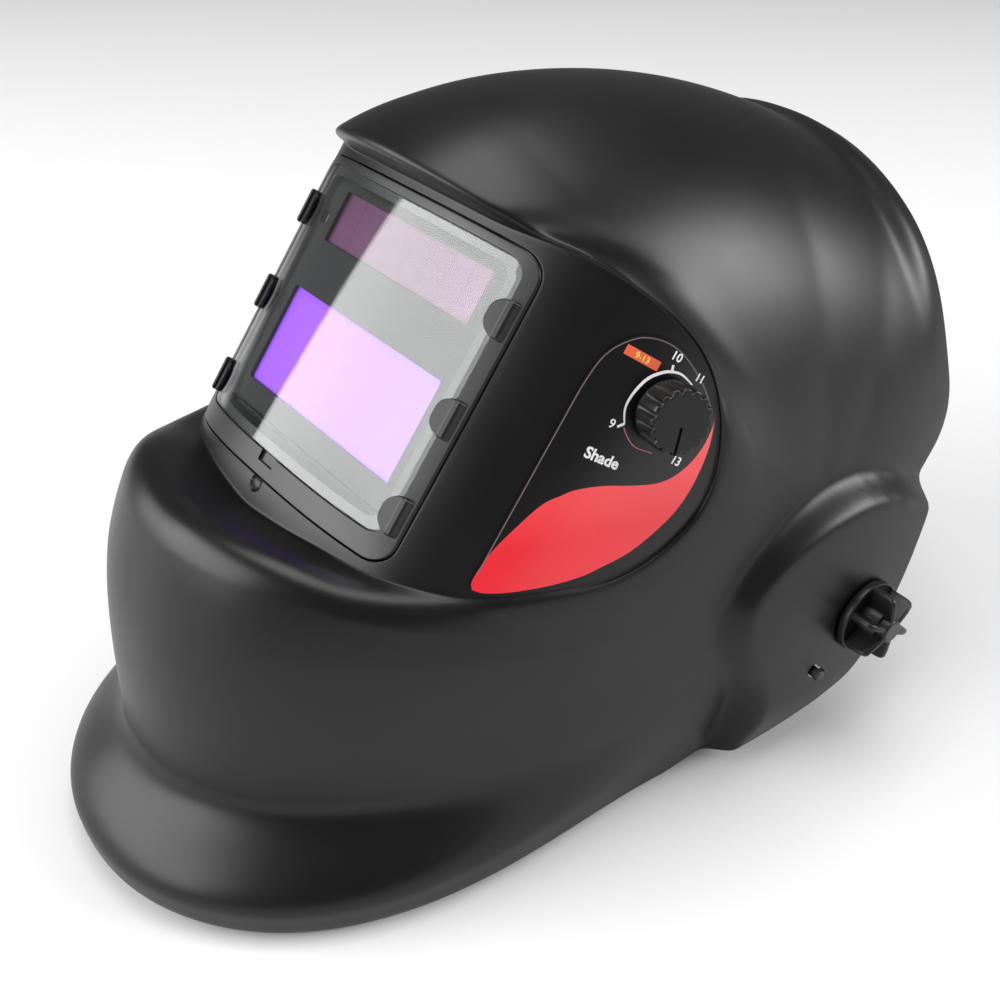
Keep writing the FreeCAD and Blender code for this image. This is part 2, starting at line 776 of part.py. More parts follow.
# ---------------------------------------------------------------- pivots and head gear
def pivot_knob():
    knob = rod((EAR_X + 0.4, PIVOT_Y, PIVOT_Z), (1, 0, 0), KNOB_R, 3.2)
    knob = softened(knob, 0.9, lambda e: e.BoundBox.XMin > EAR_X + 3.5)
    knob = knob.fuse(rod((EAR_X + 3, PIVOT_Y, PIVOT_Z), (1, 0, 0), 6.7, 8.0))
    knob = knob.fuse(rod((EAR_X + 10, PIVOT_Y, PIVOT_Z), (1, 0, 0), 4.8, 4.4))
    for k in range(6):
        fin = prism([(EAR_X + 3, 0, -1.3), (EAR_X + 3, 14.4, -1.3), (EAR_X + 10.6, 14.2, -1.3),
                     (EAR_X + 12.9, 12.9, -1.3), (EAR_X + 13.8, 5.0, -1.3), (EAR_X + 13.8, 0, -1.3)],
                    (0, 0, 2.6))
        fin.rotate(V3(0, 0, 0), V3(1, 0, 0), 60 * k + 30)
        fin.translate(V3(0, PIVOT_Y, PIVOT_Z))
        knob = knob.fuse(fin)
    knob = knob.cut(rod((EAR_X, PIVOT_Y, PIVOT_Z), (1, 0, 0), 5.6, 9.4))
    return knob.removeSplitter()


def knob_insert():
    ring = rod((EAR_X + 0.5, PIVOT_Y, PIVOT_Z), (1, 0, 0), 5.6, 8.9)
    return ring.cut(rod((EAR_X, PIVOT_Y, PIVOT_Z), (1, 0, 0), BOLT_R + 0.35, 14))


def pivot_bolt():
    bolt = rod((103.2, PIVOT_Y, PIVOT_Z), (1, 0, 0), BOLT_R, 23.2)
    bolt = softened(bolt, 0.8, lambda e: e.BoundBox.XMin > 129)
    head = box(103.2, 107.0, PIVOT_Y - 7, PIVOT_Y + 7, PIVOT_Z - 7, PIVOT_Z + 7)
    head = softened(head, 1.5, lambda e: e.BoundBox.XLength > 3)
    return bolt.fuse(head)


def friction_washer():
    ring = rod((113.0, PIVOT_Y, PIVOT_Z), (1, 0, 0), 11.5, 1.5)
    return ring.cut(rod((112, PIVOT_Y, PIVOT_Z), (1, 0, 0), BOLT_R + 0.1, 4))


def stop_lever():
    y = STOP_R * cos(LEVER_A)
    z = STOP_R * sin(LEVER_A)
    plate = rod((110.8, PIVOT_Y, PIVOT_Z), (1, 0, 0), 9.0, 1.7)
    tip = rod((110.8, PIVOT_Y + y, PIVOT_Z + z), (1, 0, 0), 4.4, 1.7)
    bar = prism([(110.8, 2.5, -4.4), (110.8, STOP_R, -4.4), (110.8, STOP_R, 4.4), (110.8, 2.5, 4.4)],
                (1.7, 0, 0))
    bar.rotate(V3(0, 0, 0), V3(1, 0, 0), degrees(LEVER_A))
    bar.translate(V3(0, PIVOT_Y, PIVOT_Z))
    peg = rod((112.4, PIVOT_Y + y, PIVOT_Z + z), (1, 0, 0), 2.1, 7.2)
    peg = softened(peg, 0.7, lambda e: e.BoundBox.XMin > 119)
    lever = fused([plate, tip, bar, peg])
    return lever.cut(rod((100, PIVOT_Y, PIVOT_Z), (1, 0, 0), BOLT_R + 0.35, 20))


ARM_Z = [(45.5, 109.3), (74, 109.3), (92, 84.3), (116, 84.3)]


def side_arm():
    t = 2.2
    outer = [(x, z) for z, x in ARM_Z]
    inner = [(109.3 - t, 45.5), (109.3 - t, 73.2), (84.3 - t, 91.2), (84.3 - t, 116)]
    pts = [(x, PIVOT_Y - 14, z) for x, z in outer + inner[::-1]]
    arm = prism(pts, (0, 28, 0))
    trim = prism([(70, PIVOT_Y - 15, 60), (70, PIVOT_Y - 15, 92), (70, PIVOT_Y - 11, 117),
                  (70, PIVOT_Y + 13, 117), (70, PIVOT_Y + 15, 92), (70, PIVOT_Y + 15, 60)], (50, 0, 0))
    disc = rod((100, PIVOT_Y, PIVOT_Z), (1, 0, 0), 15, 20)
    arm = arm.common(trim.fuse(disc))
    arm = arm.cut(rod((95, PIVOT_Y, PIVOT_Z), (1, 0, 0), BOLT_R + 0.1, 20))
    for y in RIVET_Y:
        arm = arm.cut(rod((75, y, RIVET_Z), (1, 0, 0), 2.1, 20))
    return arm


RIVET_Y = (149.0, 163.0)
RIVET_Z = 101.0


def ring_point(a, grow=0.0):
    """point on the head ring at angle a from +X, moved outwards"""
    c = cos(a)
    s = sin(a)
    x = math.copysign((RING_A + grow) * abs(c) ** (2 / RING_N), c)
    y = math.copysign((RING_B + grow) * abs(s) ** (2 / RING_N), s)
    return x, RING_Y + y


def ring_angle(x, rear=True):
    """angle of the point of the ring at a given x"""
    a = math.acos((x / RING_A) ** (RING_N / 2))
    return a if rear else -a


def strip(a0, a1, low, high, z0, z1, count=48):
    """upright strap along the head ring between two angles"""
    lines = []
    for grow in (low, high):
        pts = []
        for i in range(count + 1):
            x, y = ring_point(a0 + (a1 - a0) * i / count, grow)
            pts.append(V3(x, y, z0))
        curve = Part.BSplineCurve()
        curve.interpolate(pts)
        lines.append(curve.toShape())
    ends = [Part.makeLine(lines[0].Vertexes[k].Point, lines[1].Vertexes[k].Point) for k in (0, 1)]
    wire = Part.Wire([lines[0], ends[1], lines[1], ends[0]])
    return Part.Face(wire).extrude(V3(0, 0, z1 - z0))


def headband():
    end = ring_angle(31.5)
    h = STRAP_T / 2
    z0 = RING_Z - STRAP_H / 2
    z1 = RING_Z + STRAP_H / 2
    band = strip(end - 2 * pi + (pi - 2 * end), end, -h, h, z0, z1, 96)
    cuts = []
    for side in (0, 1):
        for k in range(7):
            a = 0.42 + 0.075 * k
            x, y = ring_point(a)
            slot = box(x - 6, x + 6, y - 2.0, y + 2.0, RING_Z - 2, RING_Z + 2)
            cuts.append(mirrored(slot) if side else slot)
    for y in RIVET_Y:
        for side in (-1, 1):
            cuts.append(rod((side * 70, y, RIVET_Z), (side, 0, 0), 2.1, 20))
    band = band.cut(cuts)
    for side, z in ((1, RACK_Z), (-1, -RACK_Z)):
        zc = RING_Z + z
        keep = box(41, 47, 250.5, 262.6, zc - 7.2, zc + 7.2)
        keep = keep.cut(box(40, 48, RACK_Y - 1.6, RACK_Y + 1.6, zc - 5.1, zc + 5.1))
        keep = keep.cut(prism([(40, 240, zc - 9), (40, 254.5, zc - 9), (48, 253.2, zc - 9),
                               (48, 240, zc - 9)], (0, 0, 18)))
        band = band.fuse(mirrored(keep) if side < 0 else keep)
    return band


RACK_Y = 260.0
RACK_Z = 12.0


def rack():
    """toothed size-adjusting tail; teeth face the pinion below it"""
    z = RING_Z + RACK_Z
    bar = box(-19, 62, RACK_Y - 1.2, RACK_Y + 1.2, z - 2.6, z + 4.6)
    for k in range(14):
        x = -18.5 + pi * k
        tooth = [(x, RACK_Y - 1.2, z - 2.5), (x + 0.6, RACK_Y - 1.2, z - 4.4),
                 (x + 1.4, RACK_Y - 1.2, z - 4.4), (x + 2.0, RACK_Y - 1.2, z - 2.5)]
        bar = bar.fuse(prism(tooth, (0, 2.4, 0)))
    grip = box(58.5, 62, RACK_Y + 1.1, RACK_Y + 3.0, z - 2.6, z + 4.6)
    return bar.fuse(grip).removeSplitter()


def ratchet_housing():
    shell = rounded(-34, 34, -19, 19, 6, 252.2, 262.3)
    shell = shell.fuse(rounded(-13, 13, -21, 21, 6, 252.2, 262.3))
    shell.rotate(V3(0, 0, 0), V3(1, 0, 0), 90)
    shell.translate(V3(0, 0, 0))
    shell = shell.mirror(V3(0, 0, 0), V3(0, 1, 0))
    shell.translate(V3(0, 0, RING_Z))
    shell = shell.cut(box(-31, 31, 258.0, 263, RING_Z - 17.2, RING_Z + 17.2))
    for side, z in ((1, RACK_Z), (-1, -RACK_Z)):
        mouth = box(30, 36, RACK_Y - 1.7, RACK_Y + 3.4, RING_Z + z - 5.1, RING_Z + z + 5.1)
        shell = shell.cut(mirrored(mouth) if side < 0 else mouth)
    pocket = strip(ring_angle(30.5), ring_angle(36), -1.0, 1.0, RING_Z - 11.1, RING_Z + 11.1, 8)
    return shell.cut([pocket, mirrored(pocket)])


def ratchet_cover():
    plate = rounded(-34, 34, -19, 19, 6, 262.3, 264.3)
    plate = plate.fuse(rounded(-13, 13, -21, 21, 6, 262.3, 264.3))
    plate.rotate(V3(0, 0, 0), V3(1, 0, 0), 90)
    plate = plate.mirror(V3(0, 0, 0), V3(0, 1, 0))
    plate.translate(V3(0, 0, RING_Z))
    plate = plate.removeSplitter()
    plate = plate.cut(rod((0, 255, RING_Z), (0, 1, 0), 4.4, 20))
    for side, z in ((1, RACK_Z), (-1, -RACK_Z)):
        mouth = box(30, 36, RACK_Y, RACK_Y + 3.4, RING_Z + z - 5.1, RING_Z + z + 5.1)
        plate = plate.cut(mirrored(mouth) if side < 0 else mouth)
    return plate


def ratchet_pinion():
    gear = rod((0, RACK_Y - 1.6, RING_Z), (0, 1, 0), 5.4, 3.2)
    for k in range(14):
        tooth = prism([(-0.8, RACK_Y - 1.6, 5.0), (-0.4, RACK_Y - 1.6, 7.2), (0.4, RACK_Y - 1.6, 7.2),
                       (0.8, RACK_Y - 1.6, 5.0)], (0, 3.2, 0))
        tooth.rotate(V3(0, 0, 0), V3(0, 1, 0), 360 * k / 14)
        tooth.translate(V3(0, 0, RING_Z))
        gear = gear.fuse(tooth)
    return gear.fuse(rod((0, RACK_Y + 1, RING_Z), (0, 1, 0), 4.0, 14)).removeSplitter()


def ratchet_knob():
    knob = rod((0, 264.8, RING_Z), (0, 1, 0), 17.0, 14)
    knob = softened(knob, 1.5, lambda e: e.BoundBox.YMin > 278)
    for k in range(12):
        a = 2 * pi * (k + 0.5) / 12
        knob = knob.cut(rod((19.0 * cos(a), 260, RING_Z + 19.0 * sin(a)), (0, 1, 0), 4.0, 30))
    knob = knob.cut(rod((0, 260, RING_Z), (0, 1, 0), 4.0, 15.1))
    return knob.cut(rod((0, 277.6, RING_Z), (0, 1, 0), 9.0, 5))


def rear_pad():
    pad = rounded(-30, 30, 70, 120, 10, 247.2, 252.2)
    pad.rotate(V3(0, 0, 0), V3(1, 0, 0), 90)
    pad = pad.mirror(V3(0, 0, 0), V3(0, 1, 0))
    return softened(pad, 1.6, lambda e: e.BoundBox.YMax < 247.3)


def sweatband():
    pad = strip(-pi / 2 - 1.02, -pi / 2 + 1.02, -6.0, -1.0, RING_Z - 13, RING_Z + 13, 48)
    return pad


def strap_arc(drop, z0, reach, count=30):
    """half hoop over the crown; its top part sits lower by the given drop"""
    lines = []
    for off in (0.0, 1.6):
        pts = [V3(78.2 + off, 146, z0)]
        for i in range(count + 1):
            a = (pi / 2 + reach) * i / count
            r = 78.2 + off - drop * step((a - 1.0) / 0.35)
            x = math.copysign((78.2 + off) * abs(cos(a)) ** 0.92, cos(a))
            pts.append(V3(x, 146, RING_Z + 12 + (r - 5) * sin(a) ** 0.92))
        curve = Part.BSplineCurve()
        curve.interpolate(pts)
        lines.append(curve.toShape())
    ends = [Part.makeLine(lines[0].Vertexes[k].Point, lines[1].Vertexes[k].Point) for k in (0, 1)]
    wire = Part.Wire([lines[0], ends[1], lines[1], ends[0]])
    return Part.Face(wire).extrude(V3(0, 20, 0))


PIN_X = (-10.0, 10.0)
PIN_Z = RING_Z + 12 + 73.2 + 0.8       # middle of the upper strap at the top


def crown_strap(drop):
    strap = strap_arc(drop, RING_Z - 6, 0.26)
    holes = [rod((x, 156, 150), (0, 0, 1), 2.05, 50) for x in PIN_X]
    for k in range(4):
        holes.append(rod((22 + 9 * k, 156, 150), (0, 0, 1), 2.05, 60))
    for y in RIVET_Y:
        holes.append(rod((70, y, RIVET_Z), (1, 0, 0), 2.1, 20))
    return strap.cut(holes)


def crown_pins():
    out = []
    for x in PIN_X:
        pin = rod((x, 156, PIN_Z - 5.4), (0, 0, 1), 1.9, 6.4)
        pin = pin.fuse(rod((x, 156, PIN_Z + 0.95), (0, 0, 1), 4.0, 1.4))
        out.append(pin.fuse(rod((x, 156, PIN_Z - 5.4), (0, 0, 1), 3.0, 1.2)).removeSplitter())
    return Part.makeCompound(out)


def rivets():
    out = []
    for y in RIVET_Y:
        rivet = rod((77.0, y, RIVET_Z), (1, 0, 0), 2.0, 8.5)
        rivet = rivet.fuse(rod((77.0, y, RIVET_Z), (1, 0, 0), 3.6, 1.0))
        rivet = rivet.fuse(rod((84.35, y, RIVET_Z), (1, 0, 0), 3.6, 1.25)).removeSplitter()
        rivet = softened(rivet, 0.5, lambda e: e.BoundBox.XMin > 85.5 or e.BoundBox.XMax < 77.05)
        out += [rivet, mirrored(rivet)]
    return Part.makeCompound(out)


def node_shapes():
    right_and_left = (("left", lambda s: s), ("right", mirrored))
    nodes = {}
    nodes["helmet_shell"] = helmet_shell()
    nodes["lens_bezel"] = lens_bezel()
    nodes["bezel_clips"] = bezel_clips()
    nodes["cover_lens"] = cover_lens()
    nodes["cartridge_front"] = cartridge_front()
    nodes["cartridge_rear"] = cartridge_rear()
    nodes["lcd_window"] = lcd_window()
    nodes["solar_cell"] = solar_cell()
    nodes["arc_sensors"] = arc_sensors()
    nodes["inner_cover_lens"] = inner_cover()
    nodes["battery_door"] = battery_door()
    nodes["sensitivity_knob"] = adjuster(*SENSE[0])
    nodes["delay_knob"] = adjuster(*SENSE[1])
    nodes["cartridge_holder"] = cartridge_holder()
    nodes["holder_screws"] = holder_screws()
    nodes["shade_label"] = shade_label()
    nodes["shade_dial"] = shade_dial()
    nodes["pot_shaft"] = pot_shaft()
    nodes["pot_housing"] = pot_housing()
    nodes["pot_nut"] = pot_nut()
    nodes["lead_socket"] = lead_socket()
    for side, turn in right_and_left:
        nodes["pivot_knob_" + side] = turn(pivot_knob())
        nodes["knob_insert_" + side] = turn(knob_insert())
        nodes["pivot_bolt_" + side] = turn(pivot_bolt())
        nodes["stop_lever_" + side] = turn(stop_lever())
        nodes["side_arm_" + side] = turn(side_arm())
    washer = friction_washer()
    nodes["friction_washers"] = Part.makeCompound([washer, mirrored(washer)])
    nodes["arm_rivets"] = rivets()
    nodes["headband"] = headband()
    nodes["crown_strap_left"] = crown_strap(0.0)
    nodes["crown_strap_right"] = mirrored(crown_strap(2.0))
    nodes["crown_strap_pins"] = crown_pins()
    nodes["sweatband"] = sweatband()
    nodes["rack_left"] = rack()
    lower = mirrored(rack())
    lower = lower.mirror(V3(0, 0, RING_Z), V3(0, 0, 1))
    nodes["rack_right"] = lower
    nodes["ratchet_housing"] = ratchet_housing()
    nodes["ratchet_cover"] = ratchet_cover()
    nodes["ratchet_pinion"] = ratchet_pinion()
    nodes["ratchet_knob"] = ratchet_knob()
    nodes["rear_pad"] = rear_pad()
    return nodes


os.makedirs("parts", exist_ok=True)
for name, shape in node_shapes().items():
    shape.translate(V3(0, -CENTRE_Y, 0))
    if not shape.isValid() or shape.Volume <= 0:
        print("check", name, shape.isValid(), shape.Volume)
    shape.exportStep("parts/" + name + ".step")
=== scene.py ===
import math

import bmesh
import bpy
import numpy as np
from mathutils import Matrix, Vector


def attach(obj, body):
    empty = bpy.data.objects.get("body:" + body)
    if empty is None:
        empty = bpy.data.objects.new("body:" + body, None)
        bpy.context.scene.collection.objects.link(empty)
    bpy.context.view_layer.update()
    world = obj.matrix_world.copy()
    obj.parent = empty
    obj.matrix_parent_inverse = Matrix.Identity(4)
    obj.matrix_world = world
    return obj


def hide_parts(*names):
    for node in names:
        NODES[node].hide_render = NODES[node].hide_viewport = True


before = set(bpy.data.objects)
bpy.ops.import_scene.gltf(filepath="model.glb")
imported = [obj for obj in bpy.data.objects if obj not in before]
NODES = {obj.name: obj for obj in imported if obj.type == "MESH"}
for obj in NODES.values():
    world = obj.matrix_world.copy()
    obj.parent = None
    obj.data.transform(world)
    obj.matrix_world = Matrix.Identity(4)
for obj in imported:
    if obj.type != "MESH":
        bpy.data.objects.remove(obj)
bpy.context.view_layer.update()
PI = math.pi

# ---------------------------------------------------------------- shape, in millimetres
# The shell is drawn from the same dimensions as the CAD part.
CENTRE_Y = 82.0
FILTER_H = 163.0
PITCH = math.radians(36.9)
WALL = 2.6
SHELL_W = 106.0
EAR_X = 118.0
PIVOT_Y = 155.0
PIVOT_Z = 61.0
LIP_FLARE = 25.5
ROLL = 4.0
BEZEL = (-62.3, 62.3, -41.5, 67.0)
COVER = (-57.0, 57.0, -33.0, 63.5)
OPENING = (-52.5, 52.5, -29.5, 60.5)
GAP = 0.4
EV = np.array([0.0, math.sin(PITCH), math.cos(PITCH)])
EN = np.array([0.0, -math.cos(PITCH), math.sin(PITCH)])


def unit(a):
    return a / np.linalg.norm(a, axis=-1, keepdims=True)


def step(x):
    x = np.clip(x, 0.0, 1.0)
    return x * x * (3 - 2 * x)


def metres(p):
    """design millimetres to the row frame"""
    p = np.array(p, float)
    return (p - [0.0, CENTRE_Y, 0.0]) * 0.001


def closed_spline(angle, radius):
    order = np.argsort(angle)
    a = np.array(angle, float)[order]
    r = np.array(radius, float)[order]
    n = len(a)
    h = (np.roll(a, -1) - a) % (2 * PI)
    m = np.zeros((n, n))
    for i in range(n):
        m[i, i - 1] += h[i - 1]
        m[i, i] += 2 * (h[i - 1] + h[i])
        m[i, (i + 1) % n] += h[i]
    c = np.linalg.solve(m, 6 * ((np.roll(r, -1) - r) / h - (r - np.roll(r, 1)) / np.roll(h, 1)))

    def at(t):
        t = (np.asarray(t) - a[0]) % (2 * PI) + a[0]
        i = np.clip(np.searchsorted(a, t, "right") - 1, 0, n - 1)
        j = (i + 1) % n
        p = t - a[i]
        q = h[i] - p
        return ((c[i] * q ** 3 + c[j] * p ** 3) / (6 * h[i]) + (r[i] / h[i] - c[i] * h[i] / 6) * q
                + (r[j] / h[i] - c[j] * h[i] / 6) * p)

    return at


# ---- the curved face: a flat-fronted super-ellipse across, straight up and down
FACE_A, FACE_B, FACE_N, FACE_0 = 102.0, 125.0, 2.8, 10.0
_a = np.linspace(0, PI / 2, 3001)
FACE_X = FACE_A * np.sin(_a) ** (2 / FACE_N)
FACE_D = FACE_0 - FACE_B * (1 - np.cos(_a) ** (2 / FACE_N))
FACE_S = np.concatenate([[0], np.cumsum(np.hypot(np.diff(FACE_X), np.diff(FACE_D)))])


def section(s, lift=0.0):
    s = np.asarray(s, float)
    a = np.abs(s)
    side = np.where(s >= 0, 1.0, -1.0)
    x = np.interp(a, FACE_S, FACE_X)
    n = np.interp(a, FACE_S, FACE_D)
    lo = np.maximum(a - 0.5, 0)
    tx = np.interp(a + 0.5, FACE_S, FACE_X) - np.interp(lo, FACE_S, FACE_X)
    tn = np.interp(a + 0.5, FACE_S, FACE_D) - np.interp(lo, FACE_S, FACE_D)
    size = np.hypot(tx, tn)
    nx = -tn / size * np.minimum(a / 0.5, 1)
    nn = tx / size
    return side * (x + nx * lift), n + nn * lift, side * nx, nn


def lens_point(x, v, n):
    x, v, n = np.broadcast_arrays(np.asarray(x, float), v, n)
    return (x[..., None] * [1.0, 0, 0] + v[..., None] * EV + n[..., None] * EN + [0, 0, FILTER_H])


def face(s, v, lift=0.0):
    x, n, _, _ = section(s, lift)
    return lens_point(x, v, n)


_skin = {}


def skin(x, v, lift):
    """point straight over (x, v) of the filter plane, on the face section lifted off it"""
    if lift not in _skin:
        g = np.arange(0, 176, 0.25)
        sx, sn, _, _ = section(g, lift)
        _skin[lift] = (sx, sn)
    sx, sn = _skin[lift]
    return lens_point(x, v, np.interp(np.abs(x), sx, sn))


def s_of(x):
    return np.interp(x, FACE_X, FACE_S)


PANEL_V = 12.0
PANEL = [(0, 70.5), (31, 70.5), (58, 72), (74, 73.5), (84, 72.5), (91.4, 69.5), (96.1, 63.5),
         (99.2, 51.5), (100.4, 39.5), (100.9, 24.5), (100.5, 7.8), (98.7, -9.4), (94.2, -21.5),
         (87.2, -31.4), (82.6, -35.9), (72.5, -41.2), (57, -45.5), (44, -47), (29, -49),
         (11, -51.2), (0, -52)]


def panel_radius():
    a, r = [], []
    for x, v in PANEL:
        s = float(s_of(x))
        for side in ((1, -1) if x > 0 else (1,)):
            a.append(math.atan2(side * s, v - PANEL_V))
            r.append(math.hypot(s, v - PANEL_V))
    return closed_spline(a, r)


POLE = (130.0, 80.0)
SIDE = [(-88, 0), (-91, 40), (-89, 80), (-83, 112), (-66, 146), (-25, 198), (13, 237), (56, 249),
        (100, 248), (150, 238), (190, 223), (228, 202), (282, 152), (305, 80), (285, 0),
        (215, -65), (120, -90), (20, -80), (-60, -45)]
SIDE_R = closed_spline([math.atan2(z - POLE[1], y - POLE[0]) for y, z in SIDE],
                       [math.hypot(y - POLE[0], z - POLE[1]) for y, z in SIDE])
BOX_AT = [0, 30, 60, 80, 115, 140, 160, 172, 185, 205, 250, 360]
BOX_N = [3.0, 3.0, 2.3, 2.1, 2.1, 2.4, 2.38, 2.38, 2.25, 2.1, 2.0, 3.0]
CORE = np.array([0.0, 85.0, 105.0])
AXIS = unit(lens_point(0, 8, 10) - CORE)
FAN_UP = unit(EV - EV.dot(AXIS) * AXIS)


def body_value(p):
    dy = p[..., 1] - POLE[0]
    dz = p[..., 2] - POLE[1]
    fan = np.arctan2(dz, dy)
    power = np.interp(np.degrees(fan) % 360, BOX_AT, BOX_N)
    return (np.hypot(dy, dz) / SIDE_R(fan)) ** power + (np.abs(p[..., 0]) / SHELL_W) ** power - 1


def body_normal(p):
    g = []
    for k in range(3):
        e = np.zeros(3)
        e[k] = 0.05
        g.append(body_value(p + e) - body_value(p - e))
    return unit(np.stack(g, -1))


def bisect(inside, lo, hi, count=26):
    lo, hi = np.array(lo, float), np.array(hi, float)
    for _ in range(count):
        mid = (lo + hi) / 2
        ok = inside(mid)
        lo = np.where(ok, mid, lo)
        hi = np.where(ok, hi, mid)
    return (lo + hi) / 2


def ray(turn, tilt):
    d = np.cos(tilt)[:, None] * AXIS + (np.sin(tilt) * np.cos(turn))[:, None] * FAN_UP
    d[:, 0] += np.sin(tilt) * np.sin(turn)
    return d


def turn_of(p):
    d = p - CORE
    return np.arctan2(d[..., 0], d @ FAN_UP)


def tilt_of(p):
    return np.arccos(unit(p - CORE) @ AXIS)


def body_point(turn, tilt):
    d = ray(turn, tilt)
    t = bisect(lambda m: body_value(CORE + d * m[:, None]) < 0, np.full(len(turn), 20.0),
               np.full(len(turn), 330.0))
    return CORE + d * t[:, None]


# rear limit of the sides, (z, furthest y)
REAR = np.array([(-12, 10), (-4, 66), (4, 96), (12, 121), (20, 141), (28, 155), (38, 164.5), (52, 172.5),
                 (72, 182), (92, 190.5), (99, 194.5), (105, 201), (112, 209), (120, 213.5), (130, 215),
                 (400, 215)])


def beyond_rim(p, floor=0.0):
    return (p[:, 2] < floor) | (p[:, 1] > np.interp(p[:, 2], REAR[:, 0], REAR[:, 1]))


# foot line of the raised ear boss, (y, z)
EAR = [(88, -30), (93, -8), (99, 12), (102, 30), (99, 45), (92, 60), (88, 75), (91, 89),
       (101, 101), (115, 110), (133, 116), (154, 117), (177, 110.5), (200, 98), (228, 80)]
EAR_STEP = 8.0


def curve_through(knots, closed=True, per=8):
    """smooth line through points"""
    k = np.array(knots, float)
    n = len(k)
    out = []
    for i in range(n if closed else n - 1):
        if closed:
            p0, p1, p2, p3 = k[i - 1], k[i], k[(i + 1) % n], k[(i + 2) % n]
        else:
            p0, p1, p2, p3 = k[max(i - 1, 0)], k[i], k[i + 1], k[min(i + 2, n - 1)]
        for j in range(per):
            t = j / per
            out.append(0.5 * (2 * p1 + (p2 - p0) * t + (2 * p0 - 5 * p1 + 4 * p2 - p3) * t * t
                              + (3 * p1 - p0 - 3 * p2 + p3) * t ** 3))
    if not closed:
        out.append(k[-1])
    return np.array(out)


EAR_LINE = curve_through(EAR, closed=False, per=5)


def ear_depth(y, z):
    """how far a point lies inside the foot line, seen from the side; negative outside"""
    p = np.stack([y, z], -1)[:, None]
    a, b = EAR_LINE[:-1][None], EAR_LINE[1:][None]
    d = b - a
    t = np.clip(((p - a) * d).sum(-1) / (d * d).sum(-1), 0, 1)
    away = np.linalg.norm(p - a - t[..., None] * d, axis=-1)
    k = np.argmin(away, 1)
    rows = np.arange(len(p))
    rel = (p - a)[rows, k]
    dd = d[0][k]
    return np.copysign(away[rows, k], rel[:, 0] * dd[:, 1] - rel[:, 1] * dd[:, 0])


def rear_roll(y, z):
    return ROLL * step((y - 199) / 9) * step((z - 140) / 50)


def with_features(p, n):
    x, y, z = p[:, 0], p[:, 1], p[:, 2]
    q = p.copy()
    flat = unit(n * [1, 1, 0])
    out = step((44 - z) / 31) - 0.07 * np.clip((7 - z) / 7, 0, 1) ** 2
    q += flat * (LIP_FLARE * step((75 - y) / 150) * out * (z < 46))[:, None]
    want = EAR_X - 0.0013 * ((y - PIVOT_Y) ** 2 + (z - PIVOT_Z) ** 2) - 7 * step((34 - z) / 38)
    push = np.maximum(want - np.abs(q[:, 0]), 0) * step(ear_depth(y, z) / EAR_STEP) * (np.abs(x) > 60)
    q[:, 0] += np.copysign(push, x)
    return q + n * rear_roll(y, z)[:, None]


def in_rounded(x, v, rect, r):
    x0, x1, v0, v1 = rect
    dx = np.maximum(np.maximum(x0 + r - x, x - x1 + r), 0)
    dv = np.maximum(np.maximum(v0 + r - v, v - v1 + r), 0)
    return np.hypot(dx, dv) < r


def grown(rect, g):
    return (rect[0] - g, rect[1] + g, rect[2] - g, rect[3] + g)


